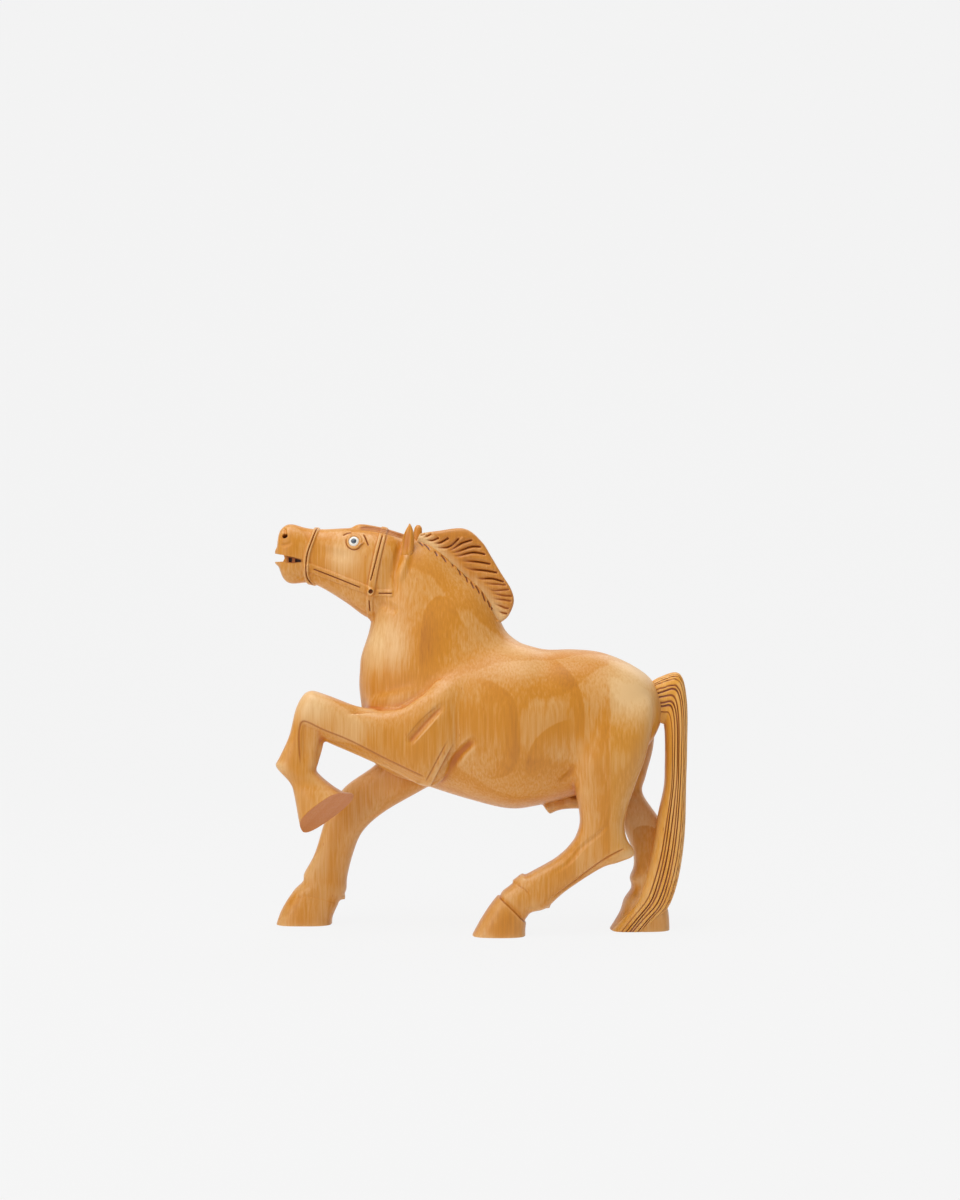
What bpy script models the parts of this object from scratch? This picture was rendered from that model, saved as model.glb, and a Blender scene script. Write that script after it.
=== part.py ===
"""Carved wooden horse, 206 mm long, glued up from blocks with inlaid eyes.

The horse faces -X with its near (left) side towards -Y, and stands on Z = 0.
Its left foreleg is raised. The blocks are carved as one body, so they are lofted
together, fused and then parted again along their glue lines.

A rib is (x, z, x, z, share): the two ends of a cross-section in the side view, in
millimetres, and its width as a share of the limb's named width. A leg's or an ear's rib
ends with how far, in millimetres, it stands closer to the middle of the horse than the
limb's centre; the right hind leg's ends with a share of how far that leg leans in.
"""
import bmesh
import bpy
from math import atan2, cos, hypot, pi, sin
from mathutils import Matrix, Vector
from mathutils.bvhtree import BVHTree

MM = 0.001

# Joinery
GLUE_GAP = 0.3 * MM
DOWEL_DIAMETER = 5.0 * MM
DOWEL_LENGTH = 20.0 * MM
DOWEL_SIDES = 12

# Widths of the body, across Y
TRUNK_WIDTH = 61.0 * MM
NECK_WIDTH = 44.0 * MM
HEAD_WIDTH = 24.0 * MM
FORELOCK_WIDTH = 6.0 * MM
SHEATH_WIDTH = 8.0 * MM
UPPER_LIP_WIDTH = 11.0 * MM
LOWER_LIP_WIDTH = 10.0 * MM

# Legs: each leg's thickness, and how far its centre lies inside the trunk's side. The left
# hind leg clears the sheath instead, and the right hind hoof stands beside the tail.
LEFT_FORELEG_WIDTH = 22.0 * MM
LEFT_FORELEG_INSET = 10.5 * MM
RIGHT_FORELEG_WIDTH = 20.0 * MM
RIGHT_FORELEG_INSET = 12.5 * MM
LEFT_HIND_LEG_WIDTH = 24.0 * MM
SHEATH_CLEARANCE = 1.0 * MM
RIGHT_HIND_LEG_WIDTH = 20.0 * MM
RIGHT_HIND_LEG_INSET = 15.5 * MM
HOOF_BESIDE_TAIL = 3.5 * MM
KNUCKLE_WIDTH = 13.0 * MM
SPUR_WIDTH = 12.0 * MM
POCKET_SHARE = 0.47
SOLE_DIAMETER = 44.0 * MM
SOLE_DEPTH = 16.0 * MM

# Tail and mane
TAIL_WIDTH = 16.0 * MM
TAIL_OFFSET = -2.0 * MM
TAIL_LOCKS = 12
TAIL_GROOVE = 0.9 * MM
MANE_THICKNESS = 7.0 * MM
MANE_LOCKS = 17
MANE_GROOVE = 1.1 * MM

# Ears
EAR_WIDTH = 4.8 * MM
EAR_INSET = 3.6 * MM
EAR_HOLLOW = 1.5 * MM
EAR_WALL = 0.9 * MM

# Eyes: a white disc let into the head, and a dark pupil let into the disc. A setback is
# measured from the front of the muzzle, and a drop from the head's top above the place.
EYE_DIAMETER = 5.2 * MM
EYE_DEPTH = 2.6 * MM
PUPIL_DIAMETER = 2.8 * MM
PUPIL_DEPTH = 1.2 * MM
EYE_PROUD = 0.4 * MM
LID_DIAMETER = 7.6 * MM
LID_THICKNESS = 1.5 * MM
EYE_SETBACK = 38.7 * MM
EYE_DROP = 6.5 * MM

# Bridle, nostrils and mouth
STRAP_WIDTH = 3.0 * MM
STRAP_HEIGHT = 1.1 * MM
ROSETTE_HOLE = 2.2 * MM
ROSETTE_SETBACK = 47.2 * MM
ROSETTE_DROP = 30.5 * MM
NOSTRIL_DIAMETER = 2.1 * MM
NOSTRIL_DEPTH = 3.0 * MM
NOSTRIL_SETBACK = 4.7 * MM
NOSTRIL_DROP = 5.6 * MM
MOUTH_LENGTH = 14.0 * MM
MOUTH_OPENING = 5.5 * MM
MOUTH_OVERRUN = 1.8 * MM
MOUTH_DROP = 15.0 * MM
MOUTH_SLOPE = -0.25
TOOTH_WIDTH = 2.4 * MM
TOOTH_GAP = 0.5 * MM
TEETH_SETBACK = 5.0 * MM
TEETH_WIDTH = 8.0 * MM

# Fineness of the carved surface
RING_POINTS = 28
STEPS_PER_RIB = 4
BRIDLE_POINTS = 20
STEPS_PER_SMALL_RIB = 2
CARVING_VOXEL = 1.1 * MM
SMOOTHING_PASSES = 5
CARVING_ALLOWANCE = 0.4 * MM
CARVED_FACES = 5500
EAR_POINTS = 12
EYE_SIDES = 18
MANE_POINTS = 14
SHARP_ANGLE = 0.6
FLAT_ANGLE = 0.018

# Shape of the cross-sections: 2 is an ellipse, and more is squarer
TRUNK_SQUARENESS = 2.3
NECK_SQUARENESS = 2.2
HEAD_SQUARENESS = 2.6
LEG_SQUARENESS = 3.0
TAIL_SQUARENESS = 3.0
MANE_SQUARENESS = 5.0
EAR_SQUARENESS = 2.4
TOE_SQUARENESS = 2.2
TAIL_SMOOTH_SHARE = 0.3
MANE_RIM_SHARE = 0.6

# Roughness of the finishes
SATIN = 0.45
PLAIN = 0.6
POLISHED = 0.3

TRUNK = [
    (-58, 114, -58, 96, 0.26), (-54, 122, -55, 86, 0.52), (-43, 130, -44, 78, 0.72),
    (-27, 137, -29, 73, 0.84), (-6, 143, -7, 66, 0.95), (17, 143, 14, 61, 1.0),
    (32, 139.5, 29, 62.5, 0.97), (46, 139.5, 45, 66.5, 0.89), (58, 138.5, 58, 70, 0.85),
    (68, 135.5, 69, 76.5, 0.82), (78, 130.5, 78, 85.5, 0.72), (85.5, 124.5, 86, 95, 0.49),
    (90, 116, 90, 103, 0.23),
]
NECK = [
    (-39, 195, -53, 164, 0.45), (-24, 191.4, -55, 150, 0.59), (-6.2, 176.1, -59, 137, 0.75),
    (1.8, 168.4, -59.7, 129.5, 0.84), (8.4, 157.3, -60, 122, 0.91),
    (13.2, 148.2, -59, 112.5, 0.96), (21, 141, -57, 101, 1.0), (20, 130, -47, 92, 0.91),
]
HEAD = [
    (-101.2, 193, -100.9, 184.5, 0.29), (-100, 198.5, -99.8, 179.2, 0.5),
    (-97, 201.5, -97.6, 174.8, 0.62), (-93.5, 202, -94, 173, 0.66), (-86, 200, -86, 173.5, 0.62),
    (-78, 199.5, -79, 171, 0.66), (-66, 200, -67.5, 164, 0.86), (-52, 199.5, -56, 156, 1.0),
    (-42, 197, -47, 155.5, 0.9), (-34, 190, -39, 163, 0.5),
]
FORELOCK = [
    (-64.5, 200.5, -63.5, 198, 0.5), (-60, 202.5, -59, 197.5, 0.9), (-50, 201, -49, 195, 1.0),
    (-41, 198.5, -41, 193, 0.85), (-33, 196, -33, 191.5, 0.5),
]
UPPER_LIP = [
    (-102.3, 189.6, -102.6, 187.2, 0.55), (-100.5, 191, -100.5, 186.4, 0.85),
    (-94, 193.5, -94, 185.5, 1.0),
]
LOWER_LIP = [
    (-102.9, 184.2, -102.2, 182.3, 0.55), (-100.5, 184.8, -99.4, 181, 0.85),
    (-94, 185, -93, 178, 1.0),
]
SHEATH = [
    (55, 68, 55, 60.5, 1.0), (44, 66.5, 44, 60.5, 0.95), (37, 64.5, 38.5, 59.5, 0.85),
    (31.8, 61.2, 34.6, 57.6, 0.7),
]
LEFT_HIND_SPUR = [(19, 24, 26, 13, 1.0), (26, 21, 29.5, 14.5, 0.8), (32, 15.6, 32.8, 13.2, 0.3)]
LEFT_HIND_KNUCKLE = [
    (28, 21, 21, 30, 1.0), (20, 21, 17.8, 27.4, 0.75), (17.2, 24.6, 16.6, 26.2, 0.3),
]
RIGHT_FORE_SPUR = [
    (-80, 23, -78, 12, 1.0), (-73.5, 20.5, -73, 12.5, 0.8), (-68.9, 15, -68.5, 12.6, 0.3),
]
RIGHT_FORE_KNUCKLE = [
    (-80, 22, -80, 31, 1.0), (-86.5, 22.5, -85.5, 28.5, 0.75), (-89, 24.6, -88.6, 26.6, 0.4),
]
RIGHT_FORELEG = [
    (-20, 116, -2, 104, 0.7, 6), (-31, 104, -7, 88, 1.0, 2), (-42, 92, -17, 75.5, 1.1, 0),
    (-53.5, 80, -30, 68, 1.05, 0), (-69, 68.5, -49, 57, 0.92, 0), (-77.5, 54.5, -60, 47, 0.88, 0),
    (-83.5, 36, -65, 35.5, 0.78, 0), (-89, 25.5, -68, 23.5, 0.77, 0),
    (-89.5, 21.5, -68.5, 17, 0.82, 0), (-94.5, 16.5, -72, 11, 0.86, 0),
    (-100.5, 7, -75.5, 3, 0.96, 0), (-103.5, -1.5, -75.5, -1.5, 1.0, 0),
]
LEFT_FORELEG = [
    (2, 125, 4, 104, 0.6, 8), (-13, 129, -10, 88, 0.9, 1.5), (-27, 119.5, -23.5, 73.5, 1.0, 0),
    (-42, 111.5, -43, 81.5, 0.9, 0), (-58, 111.5, -60, 89, 0.84, 0),
    (-75, 117.5, -76, 96, 0.82, 0), (-84, 119.5, -77.5, 98.5, 0.8, 0),
    (-89.5, 112, -77, 97, 0.75, 0), (-93, 98, -77.5, 92.5, 0.68, 0),
    (-98, 87, -80, 83.5, 0.68, 0), (-99.5, 83, -80.5, 80.5, 0.69, 0),
    (-92.5, 75, -74, 74.5, 0.67, 0), (-90.5, 69, -67, 70, 0.8, 0),
    (-88.5, 58, -62.5, 69, 0.88, 0), (-86.5, 48, -60, 60, 0.88, 0),
]
LEFT_HIND_LEG = [
    (58, 126, 78, 126, 0.6, 9), (51, 112, 85, 112, 0.85, 3), (46, 90, 81.5, 90, 1.0, 0),
    (47, 73, 75.5, 73, 0.92, 0), (49.5, 57, 70.6, 57, 0.78, 0), (47.5, 48.5, 71.6, 47.5, 0.73, 0),
    (44, 43.5, 75.6, 39.9, 0.71, 0), (40.5, 40, 68, 36, 0.68, 0), (35, 36, 59, 33, 0.65, 0),
    (21.5, 28.5, 42, 22, 0.63, 0), (14.5, 23.5, 32, 13.5, 0.69, 0), (8.5, 18.5, 24, 11, 0.72, 0),
    (2, 9.5, 22, 4, 0.8, 0), (-4, -1, 22, -1.5, 0.83, 0),
]
RIGHT_HIND_LEG = [
    (58, 124, 80, 124, 0.7, 0.52), (52, 108, 87.5, 108, 1.05, 0.07), (54, 92, 87.5, 91, 1.1, 0),
    (62, 75, 83.5, 75, 0.95, 0), (66.5, 66, 82, 66.5, 0.88, 0.07), (72, 51.5, 91, 52.5, 0.85, 0.44),
    (77, 38.5, 94, 39.5, 0.82, 0.74), (77.5, 31, 93, 32, 0.8, 0.89),
    (75.4, 25.5, 92.5, 25, 0.86, 0.96), (76.3, 20.5, 92, 20, 0.84, 0.98),
    (72.5, 14.7, 92, 15, 0.93, 1.0), (70.3, 8, 93.8, 9, 1.0, 1.0), (64.5, -1.5, 94.5, -1.5, 1.05, 1.0),
]
TAIL = [
    (84, 105, 82, 121, 0.5), (91, 103, 90, 126, 0.75), (92, 101.5, 99.5, 127.5, 0.9),
    (92.5, 95, 103, 114, 0.98), (92.5, 81.5, 103, 89.5, 1.0), (92, 71, 102.5, 73.5, 1.0),
    (89, 57, 102, 51.5, 1.0), (86, 40, 100.3, 35, 1.0), (82.5, 27, 97.5, 21.5, 1.0),
    (79, 17.5, 93.5, 11.5, 1.0), (72.5, 8.5, 87, 4.5, 0.98), (65.5, -0.5, 81, -2.5, 0.95),
]
LEFT_EAR = [
    (-40, 176, -34, 176, 0.8, 2.6), (-39.8, 183, -33, 183, 0.95, 1.6),
    (-38.9, 190, -31.5, 190, 1.0, 0.5), (-37.6, 195.5, -31.3, 195, 0.95, 0),
    (-36, 199.3, -32.3, 199, 0.7, 0), (-34.7, 202.3, -33.5, 202.3, 0.35, 0),
]
RIGHT_EAR = [
    (-37, 176, -31, 176, 0.8, 2.6), (-36, 183, -30, 183, 0.95, 1.6),
    (-34.8, 190, -29, 190, 1.0, 0.5), (-33.6, 196, -28.9, 196, 0.95, 0),
    (-33.2, 199.5, -29, 199.3, 0.85, 0), (-32, 202.3, -30.2, 202.3, 0.45, 0),
]
MANE = [
    (-32, 193.2, -30, 197.6, 0.8), (-28, 190.3, -22, 198.7, 0.95), (-21.5, 185, -8, 200, 1.0),
    (-16.5, 180, 0.6, 193.6, 1.0), (-10.5, 174.5, 5.5, 185.9, 1.0), (-5, 168.5, 10.4, 177.7, 1.0),
    (-0.5, 162.5, 15.3, 169.8, 1.0), (3.5, 157, 16.7, 163.3, 1.0), (6.5, 153, 14, 156.5, 0.95),
    (8, 151.5, 10.8, 153.6, 0.8),
]

# What lies under the hooves, in the side view
GROUND = [(-130, -20), (130, -20), (130, 0), (-130, 0)]

# Glue lines in the side view, each from one end to the other
RUMP_LINE = ((63.5, 28), (63.5, 150))
LEFT_HIND_LEG_LINE = ((42, 63), (63.5, 63))
RIGHT_HIND_LEG_LINE = ((64, 68), (92, 68))
RIGHT_FORELEG_LINE = ((-63, 84), (-25, 65))
NECK_LINE = ((-63, 114.5), (26, 149))
HEAD_LINE = ((-61, 140), (-10, 203))
SHOULDER_POCKET = [
    (-60.5, 113), (-40, 112), (-27, 119.5), (-19, 124), (-11, 115), (-10, 98), (-24, 68),
    (-40, 76), (-57, 83), (-57, 40), (-115, 40), (-115, 130), (-62, 130),
]

LEFT_FORELEG_Y = -(TRUNK_WIDTH / 2 - LEFT_FORELEG_INSET)
RIGHT_FORELEG_Y = TRUNK_WIDTH / 2 - RIGHT_FORELEG_INSET
LEFT_HIND_LEG_Y = -(SHEATH_WIDTH / 2 + SHEATH_CLEARANCE + LEFT_HIND_LEG_WIDTH / 2)
RIGHT_HIND_LEG_Y = TRUNK_WIDTH / 2 - RIGHT_HIND_LEG_INSET
RIGHT_HIND_LEAN = RIGHT_HIND_LEG_Y - (TAIL_OFFSET + HOOF_BESIDE_TAIL)
POCKET_FLOOR_Y = LEFT_FORELEG_Y + LEFT_FORELEG_WIDTH * POCKET_SHARE
EAR_Y = HEAD_WIDTH / 2 - EAR_INSET

# Places on the head
MUZZLE_X = HEAD[0][0] * MM
NOSE_TOP = HEAD[2][1] * MM
BROW_TOP = HEAD[6][1] * MM
POLL_TOP = HEAD[7][1] * MM
EYE_X = MUZZLE_X + EYE_SETBACK
EYE_Z = BROW_TOP - EYE_DROP
ROSETTE_X = MUZZLE_X + ROSETTE_SETBACK
ROSETTE_Z = POLL_TOP - ROSETTE_DROP
NOSTRIL_X = MUZZLE_X + NOSTRIL_SETBACK
NOSTRIL_Z = NOSE_TOP - NOSTRIL_DROP
MOUTH_X = MUZZLE_X - MOUTH_OVERRUN
MOUTH_Z = NOSE_TOP - MOUTH_DROP

# The raised hoof's sole: a point of it, and the way that it faces
SOLE_CENTRE = (-75 * MM, LEFT_FORELEG_Y, 61.8 * MM)
SOLE_NORMAL = (0.525, -0.462, -0.715)

# A point inside each block, which names it
BLOCK_CENTRES = {
    "barrel": (10 * MM, 0, 100 * MM),
    "rump": (75 * MM, 0, 110 * MM),
    "neck": (-20 * MM, 0, 150 * MM),
    "head": (-70 * MM, 0, 185 * MM),
    "left_foreleg": (-70 * MM, LEFT_FORELEG_Y, 105 * MM),
    "right_foreleg": (-72 * MM, RIGHT_FORELEG_Y, 45 * MM),
    "left_hind_leg": (45 * MM, LEFT_HIND_LEG_Y, 33 * MM),
    "right_hind_leg": (76 * MM, RIGHT_HIND_LEG_Y, 58 * MM),
}

# Bridle straps in the side view, each from one end to the other
STRAPS = {
    "noseband": ((-80, 206), (-89, 166)),
    "cheek_strap": ((-85, 181), (-53, 168)),
    "cheekpiece": ((-54.5, 166), (-47.5, 205)),
    "throat_strap": ((-54.3, 150), (-54.3, 168)),
}

# Dowels: centre in the side view with its Y, axis, and the two blocks it joins
DOWELS = {
    "rump_dowel_upper": (63.5, 0, 120, (1, 0, 0), ("barrel", "rump")),
    "rump_dowel_lower": (63.5, 0, 98, (1, 0, 0), ("barrel", "rump")),
    "neck_dowel_front": (-35, 0, 125.3, (-0.361, 0, 0.932), ("barrel", "neck")),
    "neck_dowel_rear": (-5, 0, 137, (-0.361, 0, 0.932), ("barrel", "neck")),
    "head_dowel": (-40, 0, 166, (-0.777, 0, 0.629), ("neck", "head")),
    "left_foreleg_dowel": (-25, POCKET_FLOOR_Y, 98, (0, 1, 0), ("barrel", "left_foreleg")),
    "right_foreleg_dowel": (-42, RIGHT_FORELEG_Y, 74, (0.447, 0, 0.894),
                            ("barrel", "right_foreleg")),
    "left_hind_leg_dowel": (56, LEFT_HIND_LEG_Y, 63, (0, 0, 1), ("barrel", "left_hind_leg")),
    "right_hind_leg_dowel": (74, RIGHT_HIND_LEG_Y, 68, (-0.3, 0, 1),
                             ("rump", "right_hind_leg")),
}


def clear_scene():
    """Empty the scene of objects and collections."""
    for obj in list(bpy.data.objects):
        bpy.data.objects.remove(obj, do_unlink=True)
    for group in list(bpy.data.collections):
        bpy.data.collections.remove(group)


def collection(name):
    """A new collection in the scene."""
    group = bpy.data.collections.new(name)
    bpy.context.scene.collection.children.link(group)
    return group


def linear(hex_colour):
    """An sRGB hex colour as linear RGBA."""
    channels = [int(hex_colour[i:i + 2], 16) / 255 for i in (1, 3, 5)]
    return [c / 12.92 if c <= 0.04045 else ((c + 0.055) / 1.055) ** 2.4 for c in channels] + [1.0]


def material(name, hex_colour, roughness):
    """A plain painted or carved finish."""
    finish = bpy.data.materials.new(name)
    finish.use_nodes = True
    shader = finish.node_tree.nodes["Principled BSDF"]
    shader.inputs["Base Color"].default_value = linear(hex_colour)
    shader.inputs["Roughness"].default_value = roughness
    shader.inputs["Metallic"].default_value = 0.0
    finish.diffuse_color = linear(hex_colour)
    return finish


def carved_wood(name, hex_colour="#D9A066"):
    """Softwood with a clear satin finish."""
    return material(f"carved_{name}", hex_colour, SATIN)


def object_from(name, bm, group):
    """A mesh object made from a bmesh, which is freed."""
    mesh = bpy.data.meshes.new(name)
    bmesh.ops.recalc_face_normals(bm, faces=bm.faces)
    bm.to_mesh(mesh)
    bm.free()
    obj = bpy.data.objects.new(name, mesh)
    group.objects.link(obj)
    return obj


def as_cutter(obj):
    """Mark an object as a tool that is not a piece of the horse."""
    obj.hide_render = True
    obj.display_type = "WIRE"
    return obj


def smooth_between(before, start, end, after, t):
    """A point on the Catmull-Rom curve through four values."""
    return 0.5 * (2 * start + (end - before) * t
                  + (2 * before - 5 * start + 4 * end - after) * t ** 2
                  + (3 * start - before - 3 * end + after) * t ** 3)


def interpolated(ribs, steps):
    """The ribs with smooth ones added between each pair."""
    padded = [ribs[0]] + list(ribs) + [ribs[-1]]
    result = []
    for i in range(1, len(padded) - 2):
        for step in range(steps):
            four = zip(*padded[i - 1:i + 3])
            result.append(tuple(smooth_between(*values, step / steps) for values in four))
    result.append(tuple(float(value) for value in ribs[-1]))
    return result


def leaned(ribs, lean):
    """Ribs that end with a share of a leg's lean, with it in millimetres."""
    return [(*rib[:-1], rib[-1] * lean / MM) for rib in ribs]


def superellipse(angle, squareness):
    """A point on a unit superellipse, as (along the rib, across the width)."""
    along, across = cos(angle), sin(angle)
    power = 2 / squareness
    return (abs(along) ** power * (1 if along >= 0 else -1),
            abs(across) ** power * (1 if across >= 0 else -1))


def loft(name, ribs, width, y, group, squareness, grow=0.0, points=RING_POINTS,
         steps=STEPS_PER_RIB, groove=None):
    """Loft a limb through its ribs, grown by a margin on every side.

    groove(section, angle) is how far a point of the surface is carved in.
    """
    sections = interpolated(ribs, steps)
    bm = bmesh.new()
    rings = []
    for index, (x1, z1, x2, z2, share, *inward) in enumerate(sections):
        centre_y = y - sum(inward) * MM * (1 if y > 0 else -1)
        first = Vector((x1 * MM, centre_y, z1 * MM))
        last = Vector((x2 * MM, centre_y, z2 * MM))
        centre = (first + last) / 2
        half = (first - last) / 2
        ring = []
        for step in range(points):
            angle = 2 * pi * step / points
            along, across = superellipse(angle, squareness)
            depth = grow - (groove(index / (len(sections) - 1), angle) if groove else 0.0)
            reach = half * (1 + depth / max(half.length, MM))
            place = centre + reach * along + Vector((0, (width * share / 2 + depth) * across, 0))
            ring.append(bm.verts.new(place))
        rings.append(ring)
    for one, two in zip(rings, rings[1:]):
        for k in range(points):
            following = (k + 1) % points
            bm.faces.new((one[k], one[following], two[following], two[k]))
    bm.faces.new(rings[0][::-1])
    bm.faces.new(rings[-1])
    return object_from(name, bm, group)


def prism(name, outline, y_low, y_high, group):
    """A closed side-view outline, in millimetres, extruded across Y."""
    bm = bmesh.new()
    near = [bm.verts.new((x * MM, y_low, z * MM)) for x, z in outline]
    face = bm.faces.new(near)
    far = bmesh.ops.extrude_face_region(bm, geom=[face])
    moved = [item for item in far["geom"] if isinstance(item, bmesh.types.BMVert)]
    bmesh.ops.translate(bm, verts=moved, vec=(0, y_high - y_low, 0))
    return as_cutter(object_from(name, bm, group))


def slab(name, line, thickness, y_low, y_high, group):
    """A flat board on edge along a side-view line, such as a saw cut or a strap."""
    (x1, z1), (x2, z2) = line
    length = hypot(x2 - x1, z2 - z1) * MM
    middle = ((x1 + x2) / 2 * MM, (y_low + y_high) / 2, (z1 + z2) / 2 * MM)
    turn = Matrix.Rotation(-atan2(z2 - z1, x2 - x1), 4, "Y")
    size = Matrix.Diagonal((length, y_high - y_low, thickness, 1))
    bm = bmesh.new()
    bmesh.ops.create_cube(bm, size=1, matrix=Matrix.Translation(middle) @ turn @ size)
    return as_cutter(object_from(name, bm, group))


def cylinder(name, centre, axis, diameter, length, group, sides=DOWEL_SIDES):
    """A round bar centred on a point and lying along an axis."""
    bm = bmesh.new()
    turn = Vector((0, 0, 1)).rotation_difference(Vector(axis)).to_matrix().to_4x4()
    bmesh.ops.create_cone(bm, cap_ends=True, segments=sides, radius1=diameter / 2,
                          radius2=diameter / 2, depth=length,
                          matrix=Matrix.Translation(centre) @ turn)
    return object_from(name, bm, group)


def evaluated_mesh(obj):
    """The object's mesh with its modifiers applied."""
    graph = bpy.context.evaluated_depsgraph_get()
    return bpy.data.meshes.new_from_object(obj.evaluated_get(graph))


def apply_modifiers(obj):
    """Replace the object's mesh with its evaluated one."""
    mesh = evaluated_mesh(obj)
    obj.modifiers.clear()
    obj.data = mesh
    return obj


def combine(piece, tool, operation):
    """Apply an exact Boolean of a tool to a piece."""
    modifier = piece.modifiers.new(operation.lower(), "BOOLEAN")
    modifier.operation = operation
    modifier.solver = "EXACT"
    modifier.object = tool
    apply_modifiers(piece)
    bm = bmesh.new()
    bm.from_mesh(piece.data)
    bmesh.ops.remove_doubles(bm, verts=bm.verts, dist=0.002 * MM)
    bmesh.ops.dissolve_degenerate(bm, edges=bm.edges, dist=0.002 * MM)
    bmesh.ops.triangulate(bm, faces=bm.faces)
    bm.to_mesh(piece.data)
    bm.free()
    return piece


def joined(name, objects, group):
    """Several objects' meshes in one new object."""
    bm = bmesh.new()
    for obj in objects:
        bm.from_mesh(obj.data)
        bpy.data.objects.remove(obj, do_unlink=True)
    return object_from(name, bm, group)


def carved_body(group):
    """Trunk, neck, head and legs fused, smoothed and cut flat under the hooves."""
    limbs = [
        loft("trunk", TRUNK, TRUNK_WIDTH, 0, group, TRUNK_SQUARENESS, CARVING_ALLOWANCE),
        loft("neck", NECK, NECK_WIDTH, 0, group, NECK_SQUARENESS, CARVING_ALLOWANCE),
        loft("head", HEAD, HEAD_WIDTH, 0, group, HEAD_SQUARENESS, CARVING_ALLOWANCE),
        loft("forelock", FORELOCK, FORELOCK_WIDTH, 0, group, NECK_SQUARENESS),
        loft("upper_lip", UPPER_LIP, UPPER_LIP_WIDTH, 0, group, NECK_SQUARENESS),
        loft("lower_lip", LOWER_LIP, LOWER_LIP_WIDTH, 0, group, NECK_SQUARENESS),
        loft("sheath", SHEATH, SHEATH_WIDTH, 0, group, NECK_SQUARENESS, CARVING_ALLOWANCE),
    ]
    right_hind_leg = leaned(RIGHT_HIND_LEG, RIGHT_HIND_LEAN)
    for name, ribs, width, y in (
            ("left_foreleg", LEFT_FORELEG, LEFT_FORELEG_WIDTH, LEFT_FORELEG_Y),
            ("right_foreleg", RIGHT_FORELEG, RIGHT_FORELEG_WIDTH, RIGHT_FORELEG_Y),
            ("left_hind_leg", LEFT_HIND_LEG, LEFT_HIND_LEG_WIDTH, LEFT_HIND_LEG_Y),
            ("right_hind_leg", right_hind_leg, RIGHT_HIND_LEG_WIDTH, RIGHT_HIND_LEG_Y)):
        limbs.append(loft(name, ribs, width, y, group, LEG_SQUARENESS, CARVING_ALLOWANCE))
    for name, ribs, width, y in (
            ("left_hind_spur", LEFT_HIND_SPUR, SPUR_WIDTH, LEFT_HIND_LEG_Y),
            ("left_hind_knuckle", LEFT_HIND_KNUCKLE, KNUCKLE_WIDTH, LEFT_HIND_LEG_Y),
            ("right_fore_spur", RIGHT_FORE_SPUR, SPUR_WIDTH, RIGHT_FORELEG_Y),
            ("right_fore_knuckle", RIGHT_FORE_KNUCKLE, KNUCKLE_WIDTH, RIGHT_FORELEG_Y)):
        limbs.append(loft(name, ribs, width, y, group, TOE_SQUARENESS, CARVING_ALLOWANCE))
    body = joined("carving", limbs, group)
    remesh = body.modifiers.new("fuse", "REMESH")
    remesh.mode = "VOXEL"
    remesh.voxel_size = CARVING_VOXEL
    smooth = body.modifiers.new("smooth", "SMOOTH")
    smooth.iterations = SMOOTHING_PASSES
    apply_modifiers(body)
    decimate = body.modifiers.new("thin", "DECIMATE")
    decimate.ratio = CARVED_FACES / (2 * len(body.data.polygons))
    apply_modifiers(body)
    below = Vector(SOLE_CENTRE) + Vector(SOLE_NORMAL).normalized() * SOLE_DEPTH / 2
    sole = cylinder("sole", below, SOLE_NORMAL, SOLE_DIAMETER, SOLE_DEPTH, group)
    combine(body, as_cutter(sole), "DIFFERENCE")
    ground = prism("ground", GROUND, -TRUNK_WIDTH, TRUNK_WIDTH, group)
    return combine(body, ground, "DIFFERENCE")


def islands(obj):
    """The vertex sets of a mesh's separate bodies."""
    bm = bmesh.new()
    bm.from_mesh(obj.data)
    waiting = set(bm.verts)
    found = []
    while waiting:
        front = [waiting.pop()]
        island = set(front)
        while front:
            for edge in front.pop().link_edges:
                for vert in edge.verts:
                    if vert in waiting:
                        waiting.discard(vert)
                        island.add(vert)
                        front.append(vert)
        found.append({vert.index for vert in island})
    bm.free()
    return found


def body_of(name, source, island, group):
    """One separate body of a mesh as its own object."""
    bm = bmesh.new()
    bm.from_mesh(source.data)
    stray = [vert for vert in bm.verts if vert.index not in island]
    bmesh.ops.delete(bm, geom=stray, context="VERTS")
    return object_from(name, bm, group)


def contains(obj, point):
    """Whether a closed body holds a point, by counting its walls along a ray."""
    bm = bmesh.new()
    bm.from_mesh(obj.data)
    tree = BVHTree.FromBMesh(bm)
    bm.free()
    place = Vector(point)
    direction = Vector((0.13, 0.97, 0.21)).normalized()
    walls = 0
    while True:
        hit = tree.ray_cast(place, direction)[0]
        if hit is None:
            return walls % 2 == 1
        walls += 1
        place = hit + direction * 0.001 * MM


def saw_kerfs(group):
    """The glue lines as thin cutters, each as wide as the glue gap."""
    both = (-TRUNK_WIDTH, TRUNK_WIDTH)
    near = (-TRUNK_WIDTH, LEFT_HIND_LEG_Y + LEFT_HIND_LEG_WIDTH / 2)
    far = (0, TRUNK_WIDTH)
    kerfs = [
        slab("rump_kerf", RUMP_LINE, GLUE_GAP, *both, group),
        slab("left_hind_leg_kerf", LEFT_HIND_LEG_LINE, GLUE_GAP, *near, group),
        slab("right_hind_leg_kerf", RIGHT_HIND_LEG_LINE, GLUE_GAP, *far, group),
        slab("right_foreleg_kerf", RIGHT_FORELEG_LINE, GLUE_GAP, *far, group),
        slab("neck_kerf", NECK_LINE, GLUE_GAP, *both, group),
        slab("head_kerf", HEAD_LINE, GLUE_GAP, *both, group),
    ]
    pocket = prism("shoulder_kerf", SHOULDER_POCKET, -TRUNK_WIDTH, POCKET_FLOOR_Y, group)
    wall = pocket.modifiers.new("kerf", "SOLIDIFY")
    wall.thickness = GLUE_GAP
    wall.offset = -1
    wall.use_even_offset = True
    return kerfs + [apply_modifiers(pocket)]


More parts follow.
